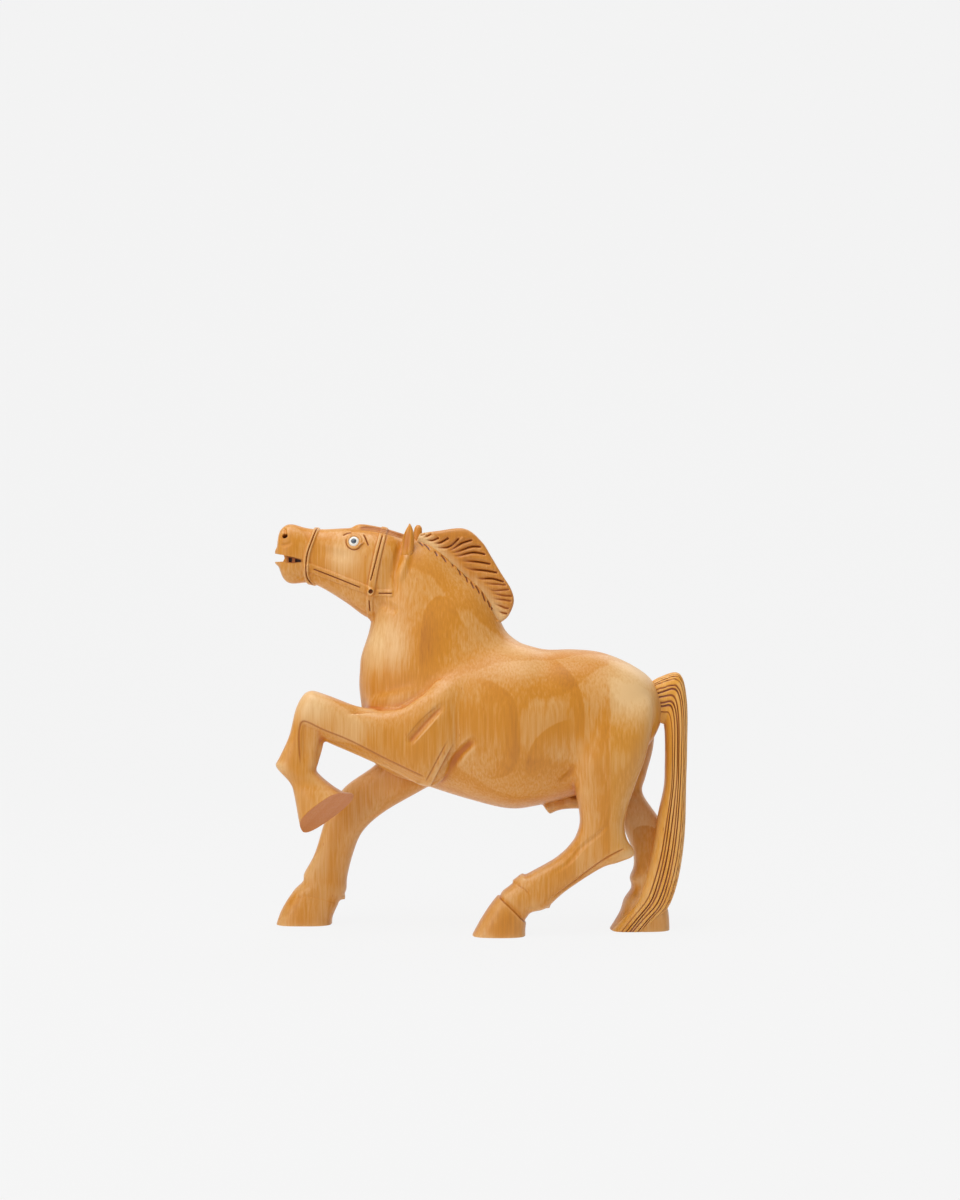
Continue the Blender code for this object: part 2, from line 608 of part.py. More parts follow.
def carved_blocks(parts, tools):
    """The carved body parted along its glue lines, by block name."""
    body = carved_body(tools)
    for kerf in saw_kerfs(tools):
        combine(body, kerf, "DIFFERENCE")
    pieces = [body_of("block", body, island, parts) for island in islands(body)]
    bpy.data.objects.remove(body, do_unlink=True)
    blocks = {}
    for name, place in BLOCK_CENTRES.items():
        block = next(piece for piece in pieces if contains(piece, place))
        if block in blocks.values():
            raise ValueError(f"{name} was not parted from {block.name}")
        block.name = name
        block.data.materials.append(carved_wood(name))
        blocks[name] = block
    if len(blocks) != len(pieces):
        raise ValueError(f"{len(pieces)} blocks were cut where {len(blocks)} are named")
    return blocks


def surface_frame(obj, x, z, side):
    """The point and outward normal where a line along Y meets a side of the object."""
    bm = bmesh.new()
    bm.from_mesh(obj.data)
    tree = BVHTree.FromBMesh(bm)
    bm.free()
    reach = EYE_DIAMETER / 2

    def hit(dx, dz):
        return tree.ray_cast(Vector((x + dx, side * TRUNK_WIDTH, z + dz)), (0, -side, 0))[0]

    across = hit(reach, 0) - hit(-reach, 0)
    upward = hit(0, reach) - hit(0, -reach)
    normal = across.cross(upward).normalized()
    return hit(0, 0), normal if normal.y * side > 0 else -normal


def carve_bridle(head, tools):
    """Add the bridle's straps in low relief and drill its rosettes."""
    paths = [slab(name, line, STRAP_WIDTH, -HEAD_WIDTH, HEAD_WIDTH, tools)
             for name, line in STRAPS.items()]
    for path in paths[1:]:
        combine(paths[0], path, "UNION")
    relief = loft("bridle", HEAD, HEAD_WIDTH, 0, tools, HEAD_SQUARENESS, STRAP_HEIGHT,
                  points=BRIDLE_POINTS, steps=STEPS_PER_SMALL_RIB)
    combine(as_cutter(relief), paths[0], "INTERSECT")
    combine(head, relief, "UNION")
    for side in (-1, 1):
        place, normal = surface_frame(head, ROSETTE_X, ROSETTE_Z, side)
        hole = cylinder(f"rosette_hole_{side}", place, normal, ROSETTE_HOLE,
                        2 * STRAP_HEIGHT + ROSETTE_HOLE, tools)
        combine(head, as_cutter(hole), "DIFFERENCE")


def carve_mouth(head, tools):
    """Open the mouth, leaving a row of teeth set back behind the lips."""
    corner_x = MOUTH_X + MOUTH_LENGTH
    corner_z = MOUTH_Z + MOUTH_SLOPE * MOUTH_LENGTH
    lips = [(MOUTH_X / MM, (MOUTH_Z + MOUTH_OPENING / 2) / MM), (corner_x / MM, corner_z / MM),
            (MOUTH_X / MM, (MOUTH_Z - MOUTH_OPENING / 2) / MM)]
    opening = prism("mouth", lips, -HEAD_WIDTH, HEAD_WIDTH, tools)
    teeth_x = MOUTH_X + TEETH_SETBACK
    core = prism("teeth", [(teeth_x / MM, (MOUTH_Z + MOUTH_OPENING) / MM),
                           (corner_x / MM, (MOUTH_Z + MOUTH_OPENING) / MM),
                           (corner_x / MM, (MOUTH_Z - 2 * MOUTH_OPENING) / MM),
                           (teeth_x / MM, (MOUTH_Z - 2 * MOUTH_OPENING) / MM)],
                 -TEETH_WIDTH / 2, TEETH_WIDTH / 2, tools)
    x = teeth_x + TOOTH_WIDTH
    while x < corner_x - TOOTH_WIDTH:
        for side in (-1, 1):
            line = ((x / MM, (MOUTH_Z - 2 * MOUTH_OPENING) / MM),
                    (x / MM, (MOUTH_Z + 2 * MOUTH_OPENING) / MM))
            notch = slab("tooth_gap", line, TOOTH_GAP, side * TEETH_WIDTH / 2 - TOOTH_GAP,
                         side * TEETH_WIDTH / 2 + TOOTH_GAP, tools)
            combine(core, notch, "DIFFERENCE")
        x += TOOTH_WIDTH
    combine(opening, core, "DIFFERENCE")
    combine(head, opening, "DIFFERENCE")


def drill_nostrils(head, tools):
    """Drill a nostril in each side of the muzzle."""
    for side in (-1, 1):
        place, normal = surface_frame(head, NOSTRIL_X, NOSTRIL_Z, side)
        hole = cylinder(f"nostril_{side}", place, normal, NOSTRIL_DIAMETER,
                        2 * NOSTRIL_DEPTH, tools)
        combine(head, as_cutter(hole), "DIFFERENCE")


def lid_ring(name, place, normal, tools):
    """The raised rim carved round an eye."""
    bpy.ops.mesh.primitive_torus_add(
        major_segments=18, minor_segments=6, major_radius=(LID_DIAMETER - LID_THICKNESS) / 2,
        minor_radius=LID_THICKNESS / 2)
    ring = bpy.context.object
    ring.name = name
    turn = Vector((0, 0, 1)).rotation_difference(normal).to_matrix().to_4x4()
    ring.data.transform(Matrix.Translation(place) @ turn)
    for group in list(ring.users_collection):
        group.objects.unlink(ring)
    tools.objects.link(ring)
    return as_cutter(ring)


def set_eyes(head, parts, tools):
    """Let a white disc and its dark pupil into each side of the head."""
    for side, hand in ((-1, "left"), (1, "right")):
        place, normal = surface_frame(head, EYE_X, EYE_Z, side)
        face = place + normal * EYE_PROUD
        combine(head, lid_ring(f"{hand}_lid", place, normal, tools), "UNION")
        socket = cylinder(f"{hand}_socket", place, normal, EYE_DIAMETER + 2 * GLUE_GAP,
                          2 * (EYE_DEPTH - EYE_PROUD + GLUE_GAP), tools, EYE_SIDES)
        combine(head, as_cutter(socket), "DIFFERENCE")
        eye = cylinder(f"{hand}_eye", face - normal * EYE_DEPTH / 2, normal, EYE_DIAMETER,
                       EYE_DEPTH, parts, EYE_SIDES)
        recess = cylinder(f"{hand}_pupil_recess", face, normal, PUPIL_DIAMETER + 2 * GLUE_GAP,
                          2 * (PUPIL_DEPTH + GLUE_GAP), tools, EYE_SIDES)
        combine(eye, as_cutter(recess), "DIFFERENCE")
        eye.data.materials.append(material(f"{hand}_white_inlay", "#EDEBE4", POLISHED))
        pupil = cylinder(f"{hand}_pupil", face - normal * PUPIL_DEPTH / 2, normal,
                         PUPIL_DIAMETER, PUPIL_DEPTH, parts, EYE_SIDES)
        pupil.data.materials.append(material(f"{hand}_dark_inlay", "#3A3F47", POLISHED))


def set_ears(seats, parts, tools):
    """Carve each ear with its hollow front and let its root into the head."""
    for side, hand, ribs in ((-1, "left", LEFT_EAR), (1, "right", RIGHT_EAR)):
        y = side * EAR_Y
        ear = loft(f"{hand}_ear", ribs, EAR_WIDTH, y, parts, EAR_SQUARENESS,
                   points=EAR_POINTS, steps=STEPS_PER_SMALL_RIB)
        hollow = loft(f"{hand}_ear_hollow", ribs[2:], EAR_WIDTH, y, tools, EAR_SQUARENESS,
                      -EAR_WALL, points=EAR_POINTS, steps=STEPS_PER_SMALL_RIB)
        seat = loft(f"{hand}_ear_seat", ribs, EAR_WIDTH, y, tools, EAR_SQUARENESS,
                    GLUE_GAP, points=EAR_POINTS, steps=STEPS_PER_SMALL_RIB)
        hollow.data.transform(Matrix.Translation((-EAR_HOLLOW, side * EAR_HOLLOW, 0)))
        combine(ear, as_cutter(hollow), "DIFFERENCE")
        ear.data.materials.append(carved_wood(ear.name))
        for block in seats:
            combine(block, as_cutter(seat), "DIFFERENCE")


def lock_groove(phase, depth):
    """How deep a rounded lock of hair falls away towards its next groove."""
    return depth * (1 - abs(sin(pi * phase))) ** 2


def tail_groove(section, angle):
    """Grooves down the tail's back and sides; the side towards the legs stays smooth."""
    if cos(angle) > TAIL_SMOOTH_SHARE:
        return 0.0
    return lock_groove(TAIL_LOCKS * angle / (2 * pi), TAIL_GROOVE)


def mane_groove(section, angle):
    """Grooves from the crest to a plain rim along the mane's edge."""
    across = abs(sin(angle))
    if across < MANE_RIM_SHARE:
        return 0.0
    return lock_groove(MANE_LOCKS * section, MANE_GROOVE)


def set_tail(seats, ground, parts, tools):
    """Carve the tail and let its root and its far side into what they touch."""
    seat = as_cutter(loft("tail_seat", TAIL, TAIL_WIDTH, TAIL_OFFSET, tools,
                          TAIL_SQUARENESS, GLUE_GAP, steps=STEPS_PER_SMALL_RIB))
    for block in seats:
        combine(block, seat, "DIFFERENCE")
    tail = loft("tail", TAIL, TAIL_WIDTH, TAIL_OFFSET, parts, TAIL_SQUARENESS,
                points=3 * TAIL_LOCKS, steps=STEPS_PER_SMALL_RIB, groove=tail_groove)
    combine(tail, ground, "DIFFERENCE")
    tail.data.materials.append(carved_wood("tail", "#C98A4B"))


def set_mane(seats, parts, tools):
    """Carve the mane and let its base into the crest."""
    seat = as_cutter(loft("mane_seat", MANE, MANE_THICKNESS, 0, tools, MANE_SQUARENESS,
                          GLUE_GAP, points=MANE_POINTS, steps=STEPS_PER_SMALL_RIB))
    for block in seats:
        combine(block, seat, "DIFFERENCE")
    steps = 3 * MANE_LOCKS // (len(MANE) - 1) + 1
    mane = loft("mane", MANE, MANE_THICKNESS, 0, parts, MANE_SQUARENESS,
                points=MANE_POINTS, steps=steps, groove=mane_groove)
    mane.data.materials.append(carved_wood("mane", "#C98A4B"))


def set_dowels(blocks, parts, tools):
    """Drill the two blocks of each joint and drop its dowel in."""
    for name, (x, y, z, axis, halves) in DOWELS.items():
        centre = Vector((x * MM, y, z * MM))
        hole = cylinder(f"{name}_hole", centre, axis, DOWEL_DIAMETER + 2 * GLUE_GAP,
                        DOWEL_LENGTH + 2 * GLUE_GAP, tools)
        for half in halves:
            combine(blocks[half], as_cutter(hole), "DIFFERENCE")
        dowel = cylinder(name, centre, axis, DOWEL_DIAMETER, DOWEL_LENGTH, parts)
        dowel.data.materials.append(material(f"beech_{name}", "#C9A27A", PLAIN))


def merge_flat_facets(piece):
    """Merge facets that lie in one plane, and split the result into triangles."""
    bm = bmesh.new()
    bm.from_mesh(piece.data)
    bmesh.ops.dissolve_limit(bm, angle_limit=FLAT_ANGLE, verts=bm.verts, edges=bm.edges)
    bmesh.ops.triangulate(bm, faces=bm.faces)
    bm.to_mesh(piece.data)
    bm.free()


def main():
    clear_scene()
    parts = collection("carved_wooden_horse")
    tools = collection("cutters")
    blocks = carved_blocks(parts, tools)
    head, neck, rump = blocks["head"], blocks["neck"], blocks["rump"]
    carve_bridle(head, tools)
    carve_mouth(head, tools)
    drill_nostrils(head, tools)
    set_eyes(head, parts, tools)
    set_ears((head, neck), parts, tools)
    set_mane((head, neck), parts, tools)
    set_tail((rump, blocks["right_hind_leg"]), bpy.data.objects["ground"], parts, tools)
    set_dowels(blocks, parts, tools)
    for piece in parts.objects:
        merge_flat_facets(piece)
        piece.data.shade_smooth()
        piece.data.set_sharp_from_angle(angle=SHARP_ANGLE)


main()
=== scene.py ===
"""Looks of a carved wooden horse: its finely carved blocks, its finishes and the studio.

The figure is carved from glued-up blocks of pale wood. The blocks are modelled together as
one smooth body, the carver's lines are cut into it, and it is then parted along the glue
lines. Sizes are in millimetres unless a name says otherwise. A route or a rib is given in
the side view, as (x, z), with the horse facing -X and its near side towards -Y.
"""
import logging
from dataclasses import dataclass, replace
from enum import Enum
from math import cos, pi, radians, sin
from typing import Iterable, Sequence

import bmesh
import bpy
import numpy as np
from bmesh.types import BMEdge, BMesh, BMFace, BMVert
from bpy.types import Material, NodeSocket, NodeTree, Object
from mathutils import Matrix, Vector
from mathutils.bvhtree import BVHTree


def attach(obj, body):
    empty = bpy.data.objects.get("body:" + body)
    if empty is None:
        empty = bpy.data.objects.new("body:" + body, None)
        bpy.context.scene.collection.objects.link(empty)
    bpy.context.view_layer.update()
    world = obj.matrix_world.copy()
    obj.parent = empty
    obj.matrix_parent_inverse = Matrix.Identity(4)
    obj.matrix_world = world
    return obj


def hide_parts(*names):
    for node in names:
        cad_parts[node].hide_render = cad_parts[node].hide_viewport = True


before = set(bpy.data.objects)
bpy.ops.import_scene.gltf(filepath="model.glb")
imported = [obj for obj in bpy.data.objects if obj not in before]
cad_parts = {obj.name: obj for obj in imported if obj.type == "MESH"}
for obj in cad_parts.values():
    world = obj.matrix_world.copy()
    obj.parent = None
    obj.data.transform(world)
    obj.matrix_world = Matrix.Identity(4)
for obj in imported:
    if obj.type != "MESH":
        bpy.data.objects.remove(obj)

MM = 0.001
BODY = "root"
Point = tuple[float, float]
Rib = tuple[float, ...]

# Half the width of a steep wall, so that the skin's squares can follow it.
WALL = 0.35
# How far past a stroke's edge the skin is still looked at, and still made finer.
LOOKED_AT = 0.5
REFINED = 0.6
# A stroke wider than this, on each side of its line, needs no finer skin.
WIDEST_REFINED = 2.5
# A stroke of one side fades in as the normal's Y goes from the first to the second.
SIDE_FADE = (0.05, 0.35)
# How near a place counts as on a cutting plane, as another place, and on a cutter's wall, in
# metres.
ON_PLANE = 1e-7
SAME_PLACE = 1e-6
ON_WALL = 2e-6

log = logging.getLogger("carved_horse")


class Form(Enum):
    """The cross-section that a stroke of the tool leaves."""
    VEE = "a sharp groove"
    ROUND = "a rounded groove"
    BAND = "a flat band with steep sides"
    STEP = "a wall on the line, running out softly to the left of it"
    BEVEL = "a slope that starts on the line and falls away to the right of it"


class Side(Enum):
    """Which side of the horse a stroke is on, as the sign of Y."""
    NEAR = -1
    FAR = 1
    ROUND = 0


def smoothstep(low: float, high: float, value: np.ndarray) -> np.ndarray:
    """A soft ramp from 0 at low to 1 at high."""
    t = np.clip((value - low) / (high - low), 0.0, 1.0)
    return t * t * (3 - 2 * t)


def catmull_rom(rows: np.ndarray, steps: int) -> np.ndarray:
    """Rows of values with smooth ones added between each pair.

    Args:
        rows: The values to pass through, one row for each.
        steps: How many rows each pair is divided into.

    Returns:
        The denser rows, which start and end on the given ones.
    """
    padded = np.vstack([rows[:1], rows, rows[-1:]])
    result = []
    for before, start, end, after in zip(padded, padded[1:], padded[2:], padded[3:]):
        for step in range(steps):
            t = step / steps
            result.append(0.5 * (2 * start + (end - before) * t
                                 + (2 * before - 5 * start + 4 * end - after) * t ** 2
                                 + (3 * start - before - 3 * end + after) * t ** 3))
    result.append(rows[-1])
    return np.array(result)


@dataclass(frozen=True)
class Stroke:
    """One line of carving.

    Attributes:
        route: Its points in the side view; a smooth curve runs through them.
        half: Half its width at the surface, or how far a step or bevel reaches.
        depth: How deep it is cut; a negative depth stands proud.
        form: Its cross-section.
        side: The side of the horse that it is on.
        y_range: The lowest and highest Y that it touches, on the near side.
        taper: The share of its length over which each end runs out.
        shade_and_varnish: How dark the painted shade in it is, partly varnish that gathers there,
            from 0 to 1.
        tone: How much darker it is there, from 0 to 1, and lighter below 0: the wood's own tone on
            the growth rings, painted shade in a hollow, a painted highlight on a ridge.
    """
    route: Sequence[Point]
    half: float
    depth: float
    form: Form = Form.VEE
    side: Side = Side.NEAR
    y_range: Point = (-60.0, 0.0)
    taper: tuple[float, float] = (0.15, 0.15)
    shade_and_varnish: float = 0.0
    tone: float = 0.0

    def far(self) -> "Stroke":
        """The same stroke on the far side."""
        return replace(self, side=Side.FAR)

    def path(self) -> np.ndarray:
        """The route as a dense smooth line."""
        rows = np.array(self.route, dtype=float)
        return rows if len(rows) < 3 else catmull_rom(rows, 5)

    def near_to(self, places: np.ndarray, margin: float) -> np.ndarray:
        """Which places lie in the stroke's box, widened by a margin.

        Args:
            places: The places as rows of (x, y, z).
            margin: How much wider the box is on every side.

        Returns:
            Their numbers.
        """
        path = self.path()
        low = path.min(axis=0) - margin
        high = path.max(axis=0) + margin
        flat = places[:, (0, 2)]
        inside = np.all((flat > low) & (flat < high), axis=1)
        if self.side is not Side.ROUND:
            y = places[:, 1] * -self.side.value
            inside &= (y > self.y_range[0]) & (y < self.y_range[1])
        return np.nonzero(inside)[0]

    def measure(self, flat: np.ndarray) -> tuple[np.ndarray, np.ndarray, np.ndarray]:
        """Where places lie against the route.

        Args:
            flat: The places as rows of (x, z).

        Returns:
            The distance from the line, the share of its length, and which side of it, where
            1 is the left of the way it runs.
        """
        path = self.path()
        lengths = np.linalg.norm(np.diff(path, axis=0), axis=1)
        gone = np.concatenate([[0.0], np.cumsum(lengths)])
        best = np.full(len(flat), np.inf)
        share = np.zeros(len(flat))
        left = np.ones(len(flat))
        for start, end, before, length in zip(path, path[1:], gone, lengths):
            way = (end - start) / length
            offset = flat - start
            along = np.clip(offset @ way, 0.0, length)
            distance = np.linalg.norm(offset - along[:, None] * way, axis=1)
            closer = distance < best
            best = np.where(closer, distance, best)
            share = np.where(closer, (before + along) / gone[-1], share)
            turn = way[0] * offset[:, 1] - way[1] * offset[:, 0]
            left = np.where(closer, np.where(turn >= 0, 1.0, -1.0), left)
        return best, share, left

    def profile(self, distance: np.ndarray, left: np.ndarray) -> np.ndarray:
        """How much of the depth is cut at each place.

        Args:
            distance: How far the places lie from the line.
            left: 1 on the left of the way it runs, and -1 on the right.

        Returns:
            A share of the depth for each, from 0 to 1.
        """
        across = distance / self.half
        if self.form is Form.VEE:
            return np.clip(1 - across, 0, 1)
        if self.form is Form.ROUND:
            return np.where(across < 1, np.cos(np.clip(across, 0, 1) * pi / 2) ** 2, 0)
        if self.form is Form.BAND:
            soft = min(WALL, self.half / 2)
            return 1 - smoothstep(self.half - soft, self.half + soft, distance)
        if self.form is Form.STEP:
            wall = smoothstep(-WALL, WALL, distance * left)
            return wall * np.exp(-(across ** 2) * 2)
        return np.where(left < 0, np.clip(across, 0, 1), 0)

    def reach(self) -> float:
        """How far from the line the stroke still moves the surface."""
        tails = 2.0 if self.form is Form.STEP else 1.0
        return self.half * tails + LOOKED_AT


def eased(places: np.ndarray, ends: np.ndarray, passes: int, strength: float | np.ndarray
          ) -> np.ndarray:
    """Places drawn towards their neighbours.

    Args:
        places: The vertices' places.
        ends: The two vertices of each edge.
        passes: How often they move.
        strength: How far they move each time, as a share of the way.

    Returns:
        The new places.
    """
    start, end = ends.T
    count = len(places)
    links = np.bincount(start, minlength=count) + np.bincount(end, minlength=count)
    links = np.maximum(links, 1)
    for _ in range(passes):
        sums = [np.bincount(start, axis[end], count) + np.bincount(end, axis[start], count)
                for axis in places.T]
        mean = np.stack([axis / links for axis in sums], axis=1)
        places = places + (mean - places) * strength
    return places


class Surface:
    """A mesh's vertices as arrays, in millimetres, so that many can be moved at once."""

    def __init__(self, mesh: bpy.types.Mesh) -> None:
        """Read the mesh.

        Args:
            mesh: The mesh, in metres.
        """
        self.mesh = mesh
        count = len(mesh.vertices)
        flat = np.empty(count * 3)
        mesh.vertices.foreach_get("co", flat)
        self.places = flat.reshape(-1, 3) / MM
        ends = np.empty(len(mesh.edges) * 2, dtype=np.int32)
        mesh.edges.foreach_get("vertices", ends)
        self.ends = ends.reshape(-1, 2)
        self.shade_and_varnish = self.attribute("shade_and_varnish")
        self.tone = self.attribute("tone")

    def attribute(self, name: str) -> np.ndarray:
        """A value kept on each vertex.

        Args:
            name: The value's name.

        Returns:
            The values, or zeros where the mesh has none of that name.
        """
        values = np.zeros(len(self.mesh.vertices))
        if name in self.mesh.attributes:
            self.mesh.attributes[name].data.foreach_get("value", values)
        return values

    def keep(self, name: str, values: np.ndarray) -> None:
        """Store a value on each vertex under a name."""
        layer = self.mesh.attributes.get(name) or self.mesh.attributes.new(name, "FLOAT", "POINT")
        layer.data.foreach_set("value", values.astype(np.float32))

    def normals(self) -> np.ndarray:
        """Put the places into the mesh and read the normals there.

        Returns:
            The outward normal at each vertex.
        """
        self.write()
        flat = np.empty(len(self.places) * 3)
        self.mesh.vertex_normals.foreach_get("vector", flat)
        return flat.reshape(-1, 3)

    def write(self) -> None:
        """Put the places back into the mesh."""
        self.mesh.vertices.foreach_set("co", (self.places * MM).ravel())
        self.mesh.update()

    def smooth(self, passes: int) -> None:
        """Ease every vertex halfway to its neighbours, so many times."""
        self.places = eased(self.places, self.ends, passes, 0.5)

    def smooth_near(self, centre: Sequence[float], radius: float, passes: int) -> None:
        """Ease the vertices in a ball, less and less towards its rim.

        Args:
            centre: The ball's middle.
            radius: Its radius.
            passes: How often.
        """
        distance = np.linalg.norm(self.places - centre, axis=1)
        inside = distance < radius
        local = np.cumsum(inside) - 1
        ends = local[self.ends[inside[self.ends].all(axis=1)]]
        core = 0.4 * radius
        strength = 0.5 * (1 - smoothstep(core, radius, distance[inside]))
        self.places[inside] = eased(self.places[inside], ends, passes, strength[:, None])

    def keep_hollows(self, fine: int, fine_depth: float, broad: int, broad_depth: float) -> None:
        """Store how far each vertex lies in a hollow (to 1) or on a ridge (to -1), for painted
        shade and highlight.

        Args:
            fine: How many passes of easing show the small hollows.
            fine_depth: How deep a small hollow counts in full.
            broad: How many more passes show the wide ones.
            broad_depth: How deep a wide hollow counts in full.
        """
        normals = self.normals()
        kept = self.places.copy()
        self.smooth(fine)
        small = np.einsum("ij,ij->i", self.places - kept, normals)
        self.smooth(broad)
        wide = np.einsum("ij,ij->i", self.places - kept, normals)
        self.places = kept
        fine_share, broad_share = 0.5, 0.6
        self.keep("hollow", np.clip(fine_share * np.clip(small / fine_depth, -1, 1)
                                    + broad_share * np.clip(wide / broad_depth, -1, 1), -1, 1))

    def carve(self, strokes: Iterable[Stroke]) -> None:
        """Cut each stroke along the surface's normal, and keep its painted shade and its tone.

        Args:
            strokes: The strokes, in the order that they are cut.
        """
        normals = self.normals()
        for stroke in strokes:
            chosen = stroke.near_to(self.places, stroke.reach())
            if not len(chosen):
                continue
            distance, share, left = stroke.measure(self.places[chosen][:, (0, 2)])
            amount = stroke.profile(distance, left)
            first, last = stroke.taper
            if first > 0:
                amount = amount * smoothstep(0, first, share)
            if last > 0:
                amount = amount * smoothstep(0, last, 1 - share)
            if stroke.side is not Side.ROUND:
                facing = normals[chosen][:, 1] * stroke.side.value
                amount = amount * smoothstep(*SIDE_FADE, facing)
            self.places[chosen] -= normals[chosen] * (amount * stroke.depth)[:, None]
            # Painted shade in the cut, partly varnish gathered there.
            self.shade_and_varnish[chosen] = np.maximum(self.shade_and_varnish[chosen], amount * stroke.shade_and_varnish)
            self.tone[chosen] += amount * stroke.tone
        self.keep("shade_and_varnish", self.shade_and_varnish)
        self.keep("tone", self.tone)
        self.write()


def new_object(name: str, mesh: bpy.types.Mesh) -> Object:
    """A mesh object linked to the scene.

    Args:
        name: Its name.
        mesh: Its mesh.

    Returns:
        The object.
    """
    obj = bpy.data.objects.new(name, mesh)
    bpy.context.scene.collection.objects.link(obj)
    return obj


def object_from(name: str, bm: BMesh) -> Object:
    """An object made from a bmesh, which is freed.

    Args:
        name: Its name and its mesh's.
        bm: The bmesh, in metres.

    Returns:
        The object.
    """
    mesh = bpy.data.meshes.new(name)
    bm.to_mesh(mesh)
    bm.free()
    return new_object(name, mesh)


def bmesh_of(obj: Object) -> BMesh:
    """An object's mesh, ready to be edited.

    Args:
        obj: The object, which stays as it is.

    Returns:
        A bmesh, in metres.
    """
    bm = bmesh.new()
    bm.from_mesh(obj.data)
    return bm


def write_back(bm: BMesh, obj: Object) -> None:
    """Put an edited mesh into its object and free it."""
    bm.to_mesh(obj.data)
    bm.free()


def verts_in(made: Iterable) -> list[BMVert]:
    """The vertices among what a bmesh operator gives back."""
    return [item for item in made if isinstance(item, BMVert)]


def edges_in(made: Iterable) -> list[BMEdge]:
    """The edges among what a bmesh operator gives back."""
    return [item for item in made if isinstance(item, BMEdge)]


def whole(faces: Sequence[BMFace]) -> list:
    """Faces with their edges and vertices, as a cut of them needs.

    Args:
        faces: The faces.

    Returns:
        All of their parts, each once and always in the same order.
    """
    geometry = dict.fromkeys(faces)
    for face in faces:
        geometry.update(dict.fromkeys(face.edges))
        geometry.update(dict.fromkeys(face.verts))
    return list(geometry)


def close_holes(bm: BMesh) -> None:
    """Fill every open rim with a face."""
    bmesh.ops.holes_fill(bm, edges=[edge for edge in bm.edges if edge.is_boundary])


def place_on(bm: BMesh, place: Vector, axis: Vector) -> None:
    """Turn a mesh's Z to an axis and move its middle to a place, in metres."""
    turn = Vector((0, 0, 1)).rotation_difference(axis).to_matrix().to_4x4()
    bmesh.ops.transform(bm, matrix=Matrix.Translation(place) @ turn, verts=bm.verts)


def discard(*objects: Object) -> None:
    """Remove objects that were only tools."""
    for obj in objects:
        bpy.data.objects.remove(obj, do_unlink=True)


def apply_modifiers(obj: Object) -> Object:
    """Replace an object's mesh with its evaluated one.

    Args:
        obj: The object.

    Returns:
        The same object, without modifiers.
    """
    graph = bpy.context.evaluated_depsgraph_get()
    mesh = bpy.data.meshes.new_from_object(obj.evaluated_get(graph))
    obj.modifiers.clear()
    obj.data = mesh
    return obj


def combine(piece: Object, tool: Object, operation: str) -> Object:
    """Apply an exact Boolean of a tool to a piece.

    Args:
        piece: The object that is changed.
        tool: The object that cuts or joins it.
        operation: UNION, DIFFERENCE or INTERSECT.

    Returns:
        The piece.
    """
    modifier = piece.modifiers.new(operation.lower(), "BOOLEAN")
    modifier.operation = operation
    modifier.solver = "EXACT"
    modifier.object = tool
    return apply_modifiers(piece)


def joined(name: str, objects: Sequence[Object]) -> Object:
    """Several objects' meshes in one new object.

    Args:
        name: The new object's name.
        objects: The old ones, which are removed.

    Returns:
        The new object.
    """
    bm = bmesh.new()
    for obj in objects:
        bm.from_mesh(obj.data)
    discard(*objects)
    return object_from(name, bm)


def swept(rows: Sequence[np.ndarray]) -> BMesh:
    """A closed body through rows of places, each row one ring round it.

    Args:
        rows: Rings with the same number of places, in millimetres.

    Returns:
        A bmesh in metres with both ends closed.
    """
    bm = bmesh.new()
    ring = bmesh.ops.create_circle(bm, segments=len(rows[0]), radius=1.0)["verts"]
    order = {vert: index for index, vert in enumerate(ring)}
    for vert, index in order.items():
        vert.co = rows[0][index] * MM
    edges = list(bm.edges)
    for row in rows[1:]:
        made = bmesh.ops.extrude_edge_only(bm, edges=edges)["geom"]
        fresh = {}
        for vert in verts_in(made):
            source = next(edge.other_vert(vert) for edge in vert.link_edges
                          if edge.other_vert(vert) in order)
            fresh[vert] = order[source]
            vert.co = row[order[source]] * MM
        edges = [edge for edge in edges_in(made) if all(vert in fresh for vert in edge.verts)]
        order = fresh
    close_holes(bm)
    bmesh.ops.recalc_face_normals(bm, faces=bm.faces)
    return bm


@dataclass(frozen=True)
class Limb:
    """A rounded form that runs through ribs.

    Attributes:
        name: What it is.
        ribs: Rows of (x, z, x, z, share, inward): the two ends of a cross-section, its width
            as a share of the limb's, and how far it stands in from the limb's centre.
        width: The limb's width across Y.
        y: The place of its centre.
        squareness: 2 is an ellipse, and more is squarer.
        grow: A margin added on every side.
    """
    name: str
    ribs: Sequence[Rib]
    width: float
    y: float = 0.0
    squareness: float = 2.3
    grow: float = 0.0

    def rings(self, points: int = 64, steps: int = 8) -> tuple[list[np.ndarray], np.ndarray]:
        """The limb's rings and the angle of each place in one.

        Args:
            points: How many places a ring has.
            steps: How many rings there are from rib to rib.

        Returns:
            The rings, in millimetres, and the angles, in radians.
        """
        rows = np.array([tuple(rib) + (0.0,) * (6 - len(rib)) for rib in self.ribs])
        angles = 2 * pi * np.arange(points) / points
        power = 2 / self.squareness
        along = np.sign(np.cos(angles)) * np.abs(np.cos(angles)) ** power
        across = np.sign(np.sin(angles)) * np.abs(np.sin(angles)) ** power
        rings = []
        for x1, z1, x2, z2, share, inward in catmull_rom(rows, steps):
            y = self.y - inward * np.sign(self.y)
            centre = np.array([(x1 + x2) / 2, y, (z1 + z2) / 2])
            half = np.array([(x1 - x2) / 2, 0.0, (z1 - z2) / 2])
            length = max(np.linalg.norm(half), 1.0)
            reach = half * (1 + self.grow / length)
            wide = np.array([0.0, self.width * share / 2 + self.grow, 0.0])
            rings.append(centre + along[:, None] * reach + across[:, None] * wide)
        return rings, angles

    def body(self, points: int = 64, steps: int = 8) -> Object:
        """The limb as a closed object."""
        rings, _ = self.rings(points, steps)
        return object_from(self.name, swept(rings))


